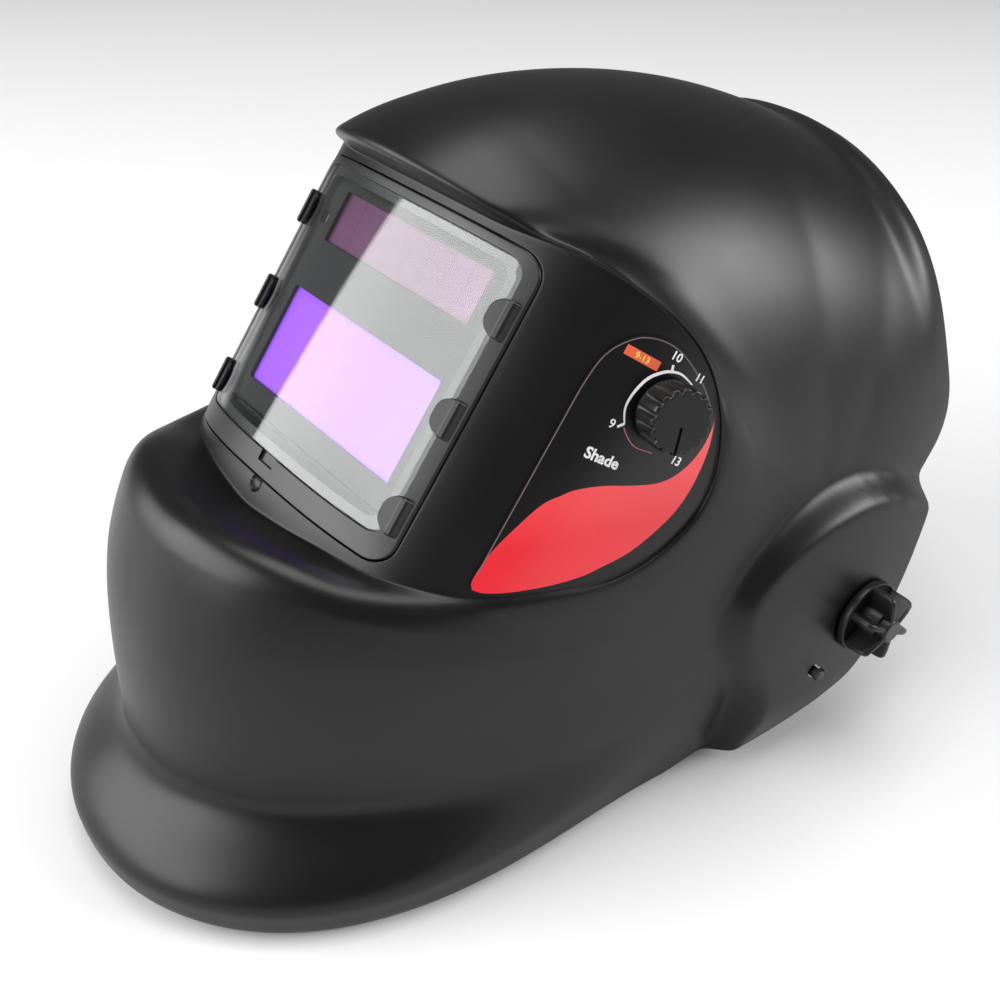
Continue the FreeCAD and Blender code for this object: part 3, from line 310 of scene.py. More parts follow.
def shell_columns(count):
    """rows of points from the window edge over the panel, its wall and the body to the rim"""
    radius = panel_radius()
    a = np.linspace(-PI, PI, 1440, endpoint=False)
    s, v = radius(a) * np.sin(a), PANEL_V + radius(a) * np.cos(a)
    t = turn_of(face(s, v))
    order = np.argsort(t)
    t, s, v = t[order], s[order], v[order]
    t = np.concatenate([[t[-1] - 2 * PI], t, [t[0] + 2 * PI]])
    s = np.concatenate([[s[-1]], s, [s[0]]])
    v = np.concatenate([[v[-1]], v, [v[0]]])
    b = -PI + 2 * PI * (np.arange(2000) + 0.5) / 2000
    weight = np.concatenate([[0], np.cumsum(1 + 0.9 * np.exp(-((np.abs(b) - 2.0) / 0.35) ** 2))])
    turn = -PI + 2 * PI * np.interp(weight[-1] * np.arange(count) / count, weight, np.arange(2001)) / 2000
    s1, v1 = np.interp(turn, t, s), np.interp(turn, t, v)
    reach1 = np.hypot(s1, v1 - PANEL_V)

    def in_window(q):
        x = np.copysign(np.interp(np.abs(s1 * q), FACE_S, FACE_X), s1)
        return in_rounded(x, PANEL_V + (v1 - PANEL_V) * q, grown(BEZEL, GAP), 8.4)

    q0 = bisect(in_window, np.zeros(count), np.ones(count))
    room = (1 - q0) * reach1
    d1, d2 = np.minimum(1.0, 0.3 * room), np.minimum(4.0, 0.55 * room)
    qs = [q0, q0 + np.minimum(0.45, 0.1 * room) / reach1]
    last = 1 - d2 / reach1
    for k in range(1, 16):
        qs.append(qs[1] + (last - qs[1]) * k / 15)
    qs += [1 - d1 / reach1, np.ones(count)]
    rows = [face(s1 * q, PANEL_V + (v1 - PANEL_V) * q) for q in qs]
    low = step((-v1 - 5) / 40)
    top = step((v1 - 55) / 12)
    v2 = v1 - 6 * low + 1.5 * top
    sx = section(s1)
    def lifted(m):
        return lens_point(sx[0] + sx[2] * m, v2, sx[1] + sx[3] * m)
    lift = bisect(lambda m: body_value(lifted(m)) < 0, np.full(count, -5.0), np.full(count, 70.0))
    corner = step((np.abs(s1) - 42) / 30) * step((v1 - 15) / 35)
    held = np.maximum(lift, 1.8)
    held = held + (np.minimum(held, 2.6) - held) * corner
    edge = lifted(held)
    base = rows[-1]
    rise = edge - base
    height = np.linalg.norm(rise, axis=1)
    rounding = 3.0 + 7.0 * low + 1.0 * top
    share = 1 - np.minimum(rounding, 0.6 * height) / height
    before = base + rise * share[:, None]
    turn = turn_of(edge)
    tilt = tilt_of(edge)
    reach = np.linalg.norm(edge - CORE, axis=1)
    start = tilt + rounding / reach * 1.15
    shortfall = held - lift

    def over(q):
        p = body_point(turn, q)
        n = body_normal(p)
        p = p + n * (shortfall * np.exp(-((q - tilt) * reach / 28) ** 2))[:, None]
        return with_features(p, n)

    after = over(start)
    f = np.minimum(0.8 / height, 0.3 * share)
    rows.append(base + rise * f[:, None])
    for k in range(1, 6):
        rows.append(base + rise * (f + (share - f) * k / 5)[:, None])
    for k in range(1, 5):
        q = k / 5
        rows.append((1 - q) ** 2 * before + 2 * q * (1 - q) * edge + q * q * after)
    rows.append(after)
    end = bisect(lambda q: ~beyond_rim(body_point(turn, q)), tilt, np.full(count, 2.75))
    for k in range(1, 57):
        q = k / 56
        q = q - 0.05 * math.sin(2 * PI * q)
        if k == 56:
            rows.append(over(end - 0.7 / reach))
        rows.append(over(start + (end - start) * q))
    return np.stack(rows)               # rows, columns, 3


def inner_rows(grid, wall):
    """the same grid moved inwards along normals softened over a few millimetres"""
    a = np.roll(grid, -1, 1) - np.roll(grid, 1, 1)
    b = np.empty_like(grid)
    b[1:-1] = grid[2:] - grid[:-2]
    b[0] = grid[1] - grid[0]
    b[-1] = grid[-1] - grid[-2]
    normals = unit(np.cross(a, b))
    along = np.concatenate([np.zeros((1, grid.shape[1])),
                            np.cumsum(np.linalg.norm(np.diff(grid, axis=0), axis=2), 0)])
    span = np.empty_like(along)
    span[1:-1] = along[2:] - along[:-2]
    span[0] = along[1] - along[0]
    span[-1] = along[-1] - along[-2]
    out = np.empty_like(grid)
    count = len(grid)
    for j in range(count):
        lo, hi = max(j - 7, 0), min(j + 8, count)
        w = span[lo:hi] * np.exp(-((along[lo:hi] - along[j]) / 3.2) ** 2)
        out[j] = grid[j] - wall * unit((normals[lo:hi] * w[..., None]).sum(0))
    return out


# ---------------------------------------------------------------- mesh helpers
def new_object(name, verts, faces, mat=None, sharp=35.0):
    mesh = bpy.data.meshes.new(name)
    mesh.from_pydata([tuple(p) for p in verts], [], faces)
    mesh.update()
    obj = bpy.data.objects.new(name, mesh)
    bpy.context.scene.collection.objects.link(obj)
    outward(obj)
    smooth(obj, sharp)
    if mat:
        mesh.materials.append(mat)
    return obj


def outward(obj):
    bm = bmesh.new()
    bm.from_mesh(obj.data)
    bmesh.ops.recalc_face_normals(bm, faces=bm.faces)
    bm.to_mesh(obj.data)
    bm.free()


def smooth(obj, sharp=35.0):
    obj.data.shade_smooth()
    obj.data.set_sharp_from_angle(angle=math.radians(sharp))


def applied(obj):
    """bakes the modifiers into the mesh"""
    bpy.context.view_layer.update()
    graph = bpy.context.evaluated_depsgraph_get()
    mesh = bpy.data.meshes.new_from_object(obj.evaluated_get(graph))
    old = obj.data
    obj.modifiers.clear()
    obj.data = mesh
    bpy.data.meshes.remove(old)
    return obj


def cut(obj, tools, solver="EXACT"):
    for tool in tools:
        m = obj.modifiers.new("cut", "BOOLEAN")
        m.operation = "DIFFERENCE"
        m.solver = solver
        m.object = tool
        applied(obj)
        bpy.data.objects.remove(tool)
    return obj


def bevel(obj, width, segments=2, angle=30.0):
    m = obj.modifiers.new("bevel", "BEVEL")
    m.width = width
    m.segments = segments
    m.limit_method = "ANGLE"
    m.angle_limit = math.radians(angle)
    m.harden_normals = False
    return applied(obj)


def subdivided(obj, levels=1):
    m = obj.modifiers.new("subdivision", "SUBSURF")
    m.levels = levels
    m.render_levels = levels
    return applied(obj)


def weighted(obj):
    m = obj.modifiers.new("normals", "WEIGHTED_NORMAL")
    m.keep_sharp = True
    return applied(obj)


def joined(name, objs):
    bpy.ops.object.select_all(action="DESELECT")
    for o in objs:
        o.select_set(True)
    bpy.context.view_layer.objects.active = objs[0]
    if len(objs) > 1:
        bpy.ops.object.join()
    objs[0].name = name
    objs[0].data.name = name
    return objs[0]


def ring_faces(rows, count, closed_rows=False):
    faces = []
    for r in range(rows if closed_rows else rows - 1):
        a = r * count
        b = ((r + 1) % rows) * count
        for i in range(count):
            j = (i + 1) % count
            faces.append((a + i, a + j, b + j, b + i))
    return faces


def loops(name, rings, mat=None, cap=True, closed=False, sharp=35.0):
    """skin over a stack of matched closed rings; the first and last are capped unless closed"""
    rings = [np.asarray(r) for r in rings]
    count = len(rings[0])
    verts = np.concatenate(rings)
    faces = ring_faces(len(rings), count, closed)
    if cap and not closed:
        faces.append(tuple(range(count)))
        faces.append(tuple(reversed(range(len(verts) - count, len(verts)))))
    return new_object(name, verts, faces, mat, sharp)


def rounded_loop(rect, r, across=40, up=30, arc=8):
    """matched points round a rectangle with rounded corners"""
    x0, x1, v0, v1 = rect
    pts = []
    corners = [((x1 - r, v1 - r), 0), ((x0 + r, v1 - r), 1), ((x0 + r, v0 + r), 2), ((x1 - r, v0 + r), 3)]
    for i, ((cx, cv), k) in enumerate(corners):
        for j in range(arc + 1):
            t = PI / 2 * (k + j / arc)
            pts.append((cx + r * math.cos(t), cv + r * math.sin(t)))
        (nx, nv), k2 = corners[(i + 1) % 4]
        a = pts[-1]
        b = (nx + r * math.cos(PI / 2 * k2), nv + r * math.sin(PI / 2 * k2))
        m = across if k in (0, 2) else up
        for j in range(1, m):
            pts.append((a[0] + (b[0] - a[0]) * j / m, a[1] + (b[1] - a[1]) * j / m))
    return np.array(pts)


def rod_tool(centre, axis, r, length, count=48):
    """plain cutter, removed after use"""
    axis = Vector(axis).normalized()
    side = axis.orthogonal().normalized()
    up = axis.cross(side)
    rings = []
    for h in (0.0, length):
        rings.append([Vector(centre) + axis * h + side * (r * math.cos(2 * PI * k / count))
                      + up * (r * math.sin(2 * PI * k / count)) for k in range(count)])
    return loops("tool", [metres([tuple(p) for p in ring]) for ring in rings])


def block_tool(points, direction):
    rings = [metres([tuple(Vector(p)) for p in points]),
             metres([tuple(Vector(p) + Vector(direction)) for p in points])]
    return loops("tool", rings)


# ---------------------------------------------------------------- materials
def tree_of(mat):
    mat.use_nodes = True
    return mat.node_tree, mat.node_tree.nodes["Principled BSDF"]


def material(name, colour, rough, metal=0.0, coat=0.0, coat_rough=0.1, grain=0.0, grain_size=900.0,
             mottle=0.06, edge=0.0, spec=0.5, sheen=0.0):
    mat = bpy.data.materials.new(name)
    tree, bsdf = tree_of(mat)
    new, link = tree.nodes.new, tree.links.new
    coords = new("ShaderNodeTexCoord")
    bsdf.inputs["Metallic"].default_value = metal
    bsdf.inputs["Coat Weight"].default_value = coat
    bsdf.inputs["Coat Roughness"].default_value = coat_rough
    bsdf.inputs["Specular IOR Level"].default_value = spec
    if sheen:
        bsdf.inputs["Sheen Weight"].default_value = sheen
        bsdf.inputs["Sheen Roughness"].default_value = 0.5
    cloud = new("ShaderNodeTexNoise")
    cloud.inputs["Scale"].default_value = 35.0
    cloud.inputs["Detail"].default_value = 3.0
    link(coords.outputs["Object"], cloud.inputs["Vector"])
    mix = new("ShaderNodeMix")
    mix.data_type = "RGBA"
    mix.inputs[6].default_value = (*[c * (1 - mottle) for c in colour], 1)
    mix.inputs[7].default_value = (*[min(c * (1 + mottle), 1) for c in colour], 1)
    link(cloud.outputs["Fac"], mix.inputs[0])
    link(mix.outputs[2], bsdf.inputs["Base Color"])
    shift = new("ShaderNodeMapRange")
    shift.inputs["From Min"].default_value = 0.3
    shift.inputs["From Max"].default_value = 0.7
    shift.inputs["To Min"].default_value = rough * 0.94
    shift.inputs["To Max"].default_value = min(rough * 1.06, 1.0)
    link(cloud.outputs["Fac"], shift.inputs["Value"])
    link(shift.outputs["Result"], bsdf.inputs["Roughness"])
    normal = None
    if edge:
        round_ = new("ShaderNodeBevel")
        round_.samples = 4
        round_.inputs["Radius"].default_value = edge * 0.001
        normal = round_.outputs["Normal"]
    if grain:
        fine = new("ShaderNodeTexNoise")
        fine.inputs["Scale"].default_value = grain_size
        fine.inputs["Detail"].default_value = 2.0
        link(coords.outputs["Object"], fine.inputs["Vector"])
        bump = new("ShaderNodeBump")
        bump.inputs["Strength"].default_value = grain
        bump.inputs["Distance"].default_value = 0.0003
        link(fine.outputs["Fac"], bump.inputs["Height"])
        if normal:
            link(normal, bump.inputs["Normal"])
        normal = bump.outputs["Normal"]
    if normal:
        link(normal, bsdf.inputs["Normal"])
    return mat


SHELL = material("shell_nylon", (0.0022, 0.0022, 0.0024), 0.37, grain=0.05, grain_size=1400, spec=0.36)
BEZEL_M = material("bezel_nylon", (0.006, 0.006, 0.0065), 0.38, spec=0.5)
CASE = material("cartridge_case", (0.004, 0.004, 0.0045), 0.45, edge=0.3, spec=0.2)
WHITE = material("white_print", (0.86, 0.86, 0.85), 0.4)
YELLOW = material("yellow_print", (0.85, 0.62, 0.12), 0.4)
TAG = material("tag_print", (0.72, 0.12, 0.05), 0.35)
PINK = material("fine_line_print", (0.55, 0.16, 0.17), 0.4)
LABEL_M = material("label_gloss", (0.004, 0.004, 0.0045), 0.26, spec=0.45)
DIAL_M = material("dial_satin", (0.005, 0.005, 0.0055), 0.36, spec=0.4)
POT = material("pot_metal", (0.48, 0.48, 0.47), 0.35, metal=1.0, edge=0.2)
STEEL = material("screw_steel", (0.42, 0.42, 0.43), 0.32, metal=1.0, edge=0.25)
BRASS = material("brass_insert", (0.62, 0.46, 0.20), 0.35, metal=1.0, edge=0.2)
NYLON = material("washer_nylon", (0.62, 0.61, 0.58), 0.45, edge=0.3)
BAND = material("headband_polymer", (0.030, 0.031, 0.033), 0.46, grain=0.25, grain_size=1800, edge=0.4)
KNOB_M = material("knob_polymer", (0.006, 0.006, 0.0065), 0.38, spec=0.35)
HUB = material("knob_cap", (0.03, 0.03, 0.031), 0.45)
SENSOR = material("sensor_dark", (0.02, 0.006, 0.018), 0.12, coat=0.8, coat_rough=0.05, edge=0.3)
MARK = material("white_mark", (0.75, 0.75, 0.73), 0.5, edge=0.2)


def swoosh_material():
    """red print, darker towards its lower front end"""
    mat = material("red_print", (0.8, 0.1, 0.1), 0.32, coat=0.3, coat_rough=0.12)
    tree, bsdf = tree_of(mat)
    new, link = tree.nodes.new, tree.links.new
    coords = new("ShaderNodeTexCoord")
    split = new("ShaderNodeSeparateXYZ")
    link(coords.outputs["Object"], split.inputs[0])
    ramp = new("ShaderNodeValToRGB")
    shift = new("ShaderNodeMapRange")
    shift.inputs["From Min"].default_value = 0.135
    shift.inputs["From Max"].default_value = 0.185
    link(split.outputs["Z"], shift.inputs["Value"])
    link(shift.outputs["Result"], ramp.inputs["Fac"])
    ramp.color_ramp.elements[0].color = (0.74, 0.014, 0.026, 1)
    ramp.color_ramp.elements[1].color = (0.97, 0.15, 0.15, 1)
    link(ramp.outputs["Color"], bsdf.inputs["Base Color"])
    return mat


RED = swoosh_material()


def clear_material():
    """clear sheet: what lies behind it shows, with the gloss of its front face"""
    mat = bpy.data.materials.new("clear_sheet")
    tree, bsdf = tree_of(mat)
    new, link = tree.nodes.new, tree.links.new
    gloss = new("ShaderNodeBsdfGlossy")
    gloss.inputs["Roughness"].default_value = 0.035
    gloss.inputs["Color"].default_value = (1, 1, 1, 1)
    clear = new("ShaderNodeBsdfTransparent")
    clear.inputs["Color"].default_value = (0.94, 0.95, 0.95, 1)
    slant = new("ShaderNodeLayerWeight")
    slant.inputs["Blend"].default_value = 0.5
    power = new("ShaderNodeMath")
    power.operation = "POWER"
    power.inputs[1].default_value = 5.0
    link(slant.outputs["Facing"], power.inputs[0])
    share = new("ShaderNodeMapRange")
    share.inputs["To Min"].default_value = 0.037
    share.inputs["To Max"].default_value = 1.0
    link(power.outputs[0], share.inputs["Value"])
    mix = new("ShaderNodeMixShader")
    link(share.outputs["Result"], mix.inputs[0])
    link(clear.outputs[0], mix.inputs[1])
    link(gloss.outputs[0], mix.inputs[2])
    link(mix.outputs[0], tree.nodes["Material Output"].inputs["Surface"])
    tree.nodes.remove(bsdf)
    return mat


CLEAR = clear_material()


def glass_stack(name, low, high, rough, lines=0.0, pitch=900.0):
    """coloured filter glass; fine cell lines where asked"""
    mat = bpy.data.materials.new(name)
    tree, bsdf = tree_of(mat)
    new, link = tree.nodes.new, tree.links.new
    coords = new("ShaderNodeTexCoord")
    split = new("ShaderNodeSeparateXYZ")
    link(coords.outputs["Object"], split.inputs[0])
    shift = new("ShaderNodeMapRange")
    shift.inputs["From Min"].default_value = -0.045
    shift.inputs["From Max"].default_value = 0.045
    link(split.outputs["X"], shift.inputs["Value"])
    mix = new("ShaderNodeMix")
    mix.data_type = "RGBA"
    mix.inputs[6].default_value = (*low, 1)
    mix.inputs[7].default_value = (*high, 1)
    link(shift.outputs["Result"], mix.inputs[0])
    out = mix.outputs[2]
    if lines:
        wave = new("ShaderNodeMath")
        wave.operation = "MULTIPLY"
        wave.inputs[1].default_value = pitch
        link(split.outputs["X"], wave.inputs[0])
        frac = new("ShaderNodeMath")
        frac.operation = "FRACT"
        link(wave.outputs[0], frac.inputs[0])
        thin = new("ShaderNodeMath")
        thin.operation = "LESS_THAN"
        thin.inputs[1].default_value = 0.06
        link(frac.outputs[0], thin.inputs[0])
        dark = new("ShaderNodeMix")
        dark.data_type = "RGBA"
        dark.inputs[7].default_value = (*[c * (1 - lines) for c in low], 1)
        link(out, dark.inputs[6])
        link(thin.outputs[0], dark.inputs[0])
        out = dark.outputs[2]
    link(out, bsdf.inputs["Base Color"])
    bsdf.inputs["Roughness"].default_value = rough
    bsdf.inputs["Specular IOR Level"].default_value = 0.08
    return mat


# the lcd's own colour is the deep violet at -x; its paler, greyer colour towards +x is painted reflection
# haze
LCD_M = glass_stack("lcd_filter", (0.34, 0.09, 0.95), (0.36, 0.17, 0.85), 0.3)
# the lcd's emission is a painted glow: the filter gives no light of its own
LCD_M.node_tree.nodes["Principled BSDF"].inputs["Emission Color"].default_value = (0.30, 0.08, 0.9, 1)
LCD_M.node_tree.nodes["Principled BSDF"].inputs["Emission Strength"].default_value = 0.12
SOLAR_M = glass_stack("solar_cells", (0.13, 0.045, 0.11), (0.23, 0.11, 0.20), 0.25, 0.15, 92.0)


def cloth_material(name, colour, thread=2600.0):
    mat = material(name, colour, 0.9, spec=0.2, sheen=0.35, mottle=0.14)
    tree, bsdf = tree_of(mat)
    new, link = tree.nodes.new, tree.links.new
    coords = new("ShaderNodeTexCoord")
    cells = new("ShaderNodeTexVoronoi")
    cells.inputs["Scale"].default_value = thread / 2.6
    link(coords.outputs["Object"], cells.inputs["Vector"])
    bump = new("ShaderNodeBump")
    bump.inputs["Strength"].default_value = 0.6
    bump.inputs["Distance"].default_value = 0.0004
    link(cells.outputs["Distance"], bump.inputs["Height"])
    link(bump.outputs["Normal"], bsdf.inputs["Normal"])
    return mat


SWEAT = cloth_material("sweat_cloth", (0.035, 0.036, 0.040))
PAD = cloth_material("pad_foam", (0.028, 0.029, 0.031))


def dress(nodes, mat):
    for n in nodes.split():
        NODES[n].data.materials.clear()
        NODES[n].data.materials.append(mat)


dress("helmet_shell", SHELL)
dress("lens_bezel bezel_clips cartridge_holder", BEZEL_M)
dress("cover_lens inner_cover_lens", CLEAR)
dress("cartridge_front cartridge_rear lead_socket", CASE)
dress("battery_door", CASE)
dress("lcd_window", LCD_M)
dress("solar_cell", SOLAR_M)
dress("arc_sensors", SENSOR)
dress("sensitivity_knob delay_knob", MARK)
dress("holder_screws pivot_bolt_left pivot_bolt_right arm_rivets", STEEL)
dress("shade_label", LABEL_M)
dress("shade_dial", DIAL_M)
dress("pot_shaft pot_housing pot_nut", POT)
dress("knob_insert_left knob_insert_right", BRASS)
dress("pivot_knob_left pivot_knob_right", KNOB_M)
dress("stop_lever_left stop_lever_right side_arm_left side_arm_right", BAND)
dress("headband crown_strap_left crown_strap_right crown_strap_pins", BAND)
dress("rack_left rack_right ratchet_housing ratchet_cover ratchet_pinion ratchet_knob", BAND)
dress("friction_washers", NYLON)
dress("sweatband", SWEAT)
dress("rear_pad", PAD)


def place(obj, body, slot, *nodes):
    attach(obj, body)
    if nodes:
        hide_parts(*nodes)
    return obj


# ---------------------------------------------------------------- shell
THUMB_V = -44.0
STOP_R = 29.0
LEVER_A = math.atan2(41 - PIVOT_Z, 134 - PIVOT_Y)
DIAL_S = float(s_of(94.3))
DIAL_V = 44.3
DIAL_P = face(DIAL_S, DIAL_V)
DIAL_N = unit(face(DIAL_S, DIAL_V, 1.0) - DIAL_P)
DIAL_U = np.cross(EV, DIAL_N)


def in_dial(x, y, z):
    x, y, z = np.broadcast_arrays(np.asarray(x, float), y, z)
    return DIAL_P + x[..., None] * DIAL_U + y[..., None] * EV + z[..., None] * DIAL_N


def slot_tool(side):
    """banana slot for the tilt-stop peg"""
    r = 2.6
    span = math.radians(7)
    line = []
    for k in range(9):
        a = LEVER_A - span + 2 * span * k / 8
        line.append((a, STOP_R + r))
    for k in range(1, 8):
        t = PI * k / 8
        line.append((LEVER_A + span, STOP_R + r * math.cos(t), r * math.sin(t)))
    for k in range(9):
        a = LEVER_A + span - 2 * span * k / 8
        line.append((a, STOP_R - r))
    for k in range(1, 8):
        t = PI * k / 8
        line.append((LEVER_A - span, STOP_R - r * math.cos(t), -r * math.sin(t)))
    pts = []
    for q in line:
        a, rad = q[0], q[1]
        y, z = rad * math.cos(a), rad * math.sin(a)
        if len(q) == 3:
            y -= q[2] * math.sin(a)
            z += q[2] * math.cos(a)
        pts.append((side * 100, PIVOT_Y + y, PIVOT_Z + z))
    return block_tool(pts, (side * 40, 0, 0))


def ball_tool(centre, r):
    rings = []
    for k in range(1, 16):
        t = PI * k / 16
        rings.append([(centre[0] + r * math.sin(t) * math.cos(2 * PI * j / 32),
                       centre[1] + r * math.sin(t) * math.sin(2 * PI * j / 32),
                       centre[2] + r * math.cos(t)) for j in range(32)])
    return loops("tool", [metres(ring) for ring in rings])


def build_shell():
    outer = shell_columns(280)
    inner = inner_rows(outer, WALL)
    inner[..., 2] = np.maximum(inner[..., 2], 0.0)
    rows = np.concatenate([outer, inner[::-1]])
    verts = metres(rows.reshape(-1, 3))
    faces = ring_faces(len(rows), rows.shape[1], closed_rows=True)
    shell = new_object("shell_look", verts, faces, SHELL, 180)
    subdivided(shell, 1)
    tools = [slot_tool(1), slot_tool(-1)]
    tools += [rod_tool((s * 90, PIVOT_Y, PIVOT_Z), (s, 0, 0), 4.4, 50) for s in (1, -1)]
    tools.append(rod_tool(in_dial(0, 0, -12), DIAL_N, 3.9, 24))
    tools.append(ball_tool(lens_point(0, THUMB_V, FACE_0 + 3.0), 4.6))
    cut(shell, tools)
    smooth(shell, 50)
    return place(shell, "shell", "shell_black", "helmet_shell")


build_shell()


# ---------------------------------------------------------------- bezel, clips and cover lens
def lens_ring(rect, r, lift):
    p = rounded_loop(rect, r)
    return metres(skin(p[:, 0], p[:, 1], lift))


def build_bezel():
    rabbet = grown(COVER, 0.3)
    rings = [lens_ring(BEZEL, 8.0, -1.9), lens_ring(BEZEL, 8.0, 0.15),
             lens_ring(grown(BEZEL, -0.12), 7.9, 0.38), lens_ring(grown(BEZEL, -0.4), 7.6, 0.5),
             lens_ring(grown(rabbet, 0.35), 6.65, 0.5), lens_ring(grown(rabbet, 0.1), 6.4, 0.4),
             lens_ring(rabbet, 6.3, 0.2), lens_ring(rabbet, 6.3, -0.9),
             lens_ring(OPENING, 5.0, -0.9), lens_ring(OPENING, 5.0, -1.9)]
    bezel = loops("bezel_look", rings, BEZEL_M, closed=True, sharp=40)
    corners = [lens_point(x, v, FACE_0 - 0.7) for x, v in ((-4.5, -37), (4.5, -37), (4.5, -30), (-4.5, -30))]
    cut(bezel, [block_tool(corners, EN * 10)])
    bevel(bezel, 0.00012, 1, 50)
    smooth(bezel, 40)
    weighted(bezel)
    return place(bezel, "shell", "bezel_black", "lens_bezel")


def lens_grid(rect, r, lift, nx=72, nv=40):
    """matched grid inside a rounded rectangle"""
    x0, x1, v0, v1 = rect
    cx, a = (x0 + x1) / 2, (x1 - x0) / 2
    cv, b = (v0 + v1) / 2, (v1 - v0) / 2
    t = np.linspace(-1, 1, nx + 1)
    u = np.sin(t * PI / 2) * 0.35 + t * 0.65
    x = u * a
    over = np.maximum(np.abs(x) - (a - r), 0)
    top = b - r + np.sqrt(np.maximum(r * r - over * over, 0))
    w = np.linspace(-1, 1, nv + 1)
    gx = np.repeat(x[:, None], nv + 1, 1) + cx
    gv = top[:, None] * w[None] + cv
    return skin(gx, gv, lift)


def build_lens():
    nx, nv = 72, 40
    layers = [(COVER, 6.0, -0.8), (COVER, 6.0, 0.1), (grown(COVER, -0.25), 5.75, 0.3)]
    grids = [lens_grid(rect, r, lift, nx, nv) for rect, r, lift in layers]
    edge = ([(i, 0) for i in range(nx)] + [(nx, j) for j in range(nv)]
            + [(i, nv) for i in range(nx, 0, -1)] + [(0, j) for j in range(nv, 0, -1)])
    size = (nx + 1) * (nv + 1)
    verts = np.concatenate([g.reshape(-1, 3) for g in grids])

    def at(layer, i, j):
        return layer * size + i * (nv + 1) + j

    faces = []
    for layer in (0, 2):
        for i in range(nx):
            for j in range(nv):
                faces.append((at(layer, i, j), at(layer, i + 1, j), at(layer, i + 1, j + 1),
                              at(layer, i, j + 1)))
    for layer in (0, 1):
        for k in range(len(edge)):
            p, q = edge[k], edge[(k + 1) % len(edge)]
            faces.append((at(layer, *p), at(layer, *q), at(layer + 1, *q), at(layer + 1, *p)))
    used = sorted({k for f in faces for k in f})
    index = {k: n for n, k in enumerate(used)}
    lens = new_object("cover_lens_look", metres(verts[used]), [tuple(index[k] for k in f) for f in faces],
                      CLEAR, 30)
    return place(lens, "shell", "clear_lens", "cover_lens")


def clip_outline(v, side, grow=0.0, bar=False):
    """the tab: straight on its outer side, round towards the window"""
    x0, x1, h, r = (58.4, 61.2, 6.6, 1.0) if bar else (53.4, 61.2, 6.6, 5.6)
    pts = []
    half = h + grow
    inner = x0 - grow
    outer = x1 + grow
    r_out = 0.8 + grow
    r_in = r + grow
    for cx, cv, a0, rr in ((outer - r_out, half - r_out, 0, r_out),
                           (inner + r_in, half - r_in, 90, r_in),
                           (inner + r_in, -half + r_in, 180, r_in),
                           (outer - r_out, -half + r_out, 270, r_out)):
        for k in range(9):
            t = math.radians(a0 + 90 * k / 8)
            pts.append((side * (cx + rr * math.cos(t)), v + cv + rr * math.sin(t)))
    return np.array(pts if side > 0 else pts[::-1])


def clip_part(name, v, side, profile, bar):
    rings = []
    for grow, lift in profile:
        p = clip_outline(v, side, grow, bar)
        rings.append(metres(skin(p[:, 0], p[:, 1], lift)))
    return loops(name, rings, BEZEL_M, sharp=30)


def build_clips():
    parts = []
    for side in (-1, 1):
        for v in (45.3, 10.5, -24.3):
            parts.append(clip_part("clip", v, side, [(0, 0.5), (0, 1.25), (-0.15, 1.55), (-0.5, 1.7)], False))
            parts.append(clip_part("clip", v, side, [(0, 1.5), (0, 2.1), (-0.25, 2.6), (-0.75, 2.9)], True))
    clips = joined("clips_look", parts)
    smooth(clips, 40)
    weighted(clips)
    return place(clips, "shell", "bezel_black", "bezel_clips")


build_bezel()
build_lens()
build_clips()


# ---------------------------------------------------------------- printed label
def conformed(name, mesh2d, lift, depth, mat, step_mm=1.5, sharp=30):
    """a flat drawing in (s, v) wrapped over the face as a thin closed layer"""
    bm = mesh2d
    lo = min(v.co.x for v in bm.verts)
    hi = max(v.co.x for v in bm.verts)
    k = math.floor(lo / step_mm) + 1
    while k * step_mm < hi:
        bmesh.ops.bisect_plane(bm, geom=bm.verts[:] + bm.edges[:] + bm.faces[:], dist=1e-5,
                               plane_co=(k * step_mm, 0, 0), plane_no=(1, 0, 0))
        k += 1
    top = {v: i for i, v in enumerate(bm.verts)}
    count = len(top)
    s = np.array([v.co.x for v in bm.verts])
    v_ = np.array([v.co.y for v in bm.verts])
    verts = np.concatenate([face(s, v_, lift), face(s, v_, lift - depth)])
    faces = []
    for f in bm.faces:
        ids = [top[v] for v in f.verts]
        faces.append(tuple(ids))
        faces.append(tuple(i + count for i in reversed(ids)))
    for e in bm.edges:
        if len(e.link_faces) == 1:
            a, b = top[e.verts[0]], top[e.verts[1]]
            faces.append((a, b, b + count, a + count))
    bm.free()
    return new_object(name, metres(verts), faces, mat, sharp)


def drawing(points):
    bm = bmesh.new()
    vs = [bm.verts.new((p[0], p[1], 0)) for p in points]
    bm.faces.new(vs)
    bm.verts.index_update()
    return bm


def stroke(line, width):
    """outline of a line drawn with a varying width"""
    line = np.array(line, float)
    d = np.gradient(line, axis=0)
    d /= np.linalg.norm(d, axis=1)[:, None]
    side = np.stack([-d[:, 1], d[:, 0]], 1) * (np.broadcast_to(width, len(line))[:, None] / 2)
    return np.concatenate([line + side, (line - side)[::-1]])


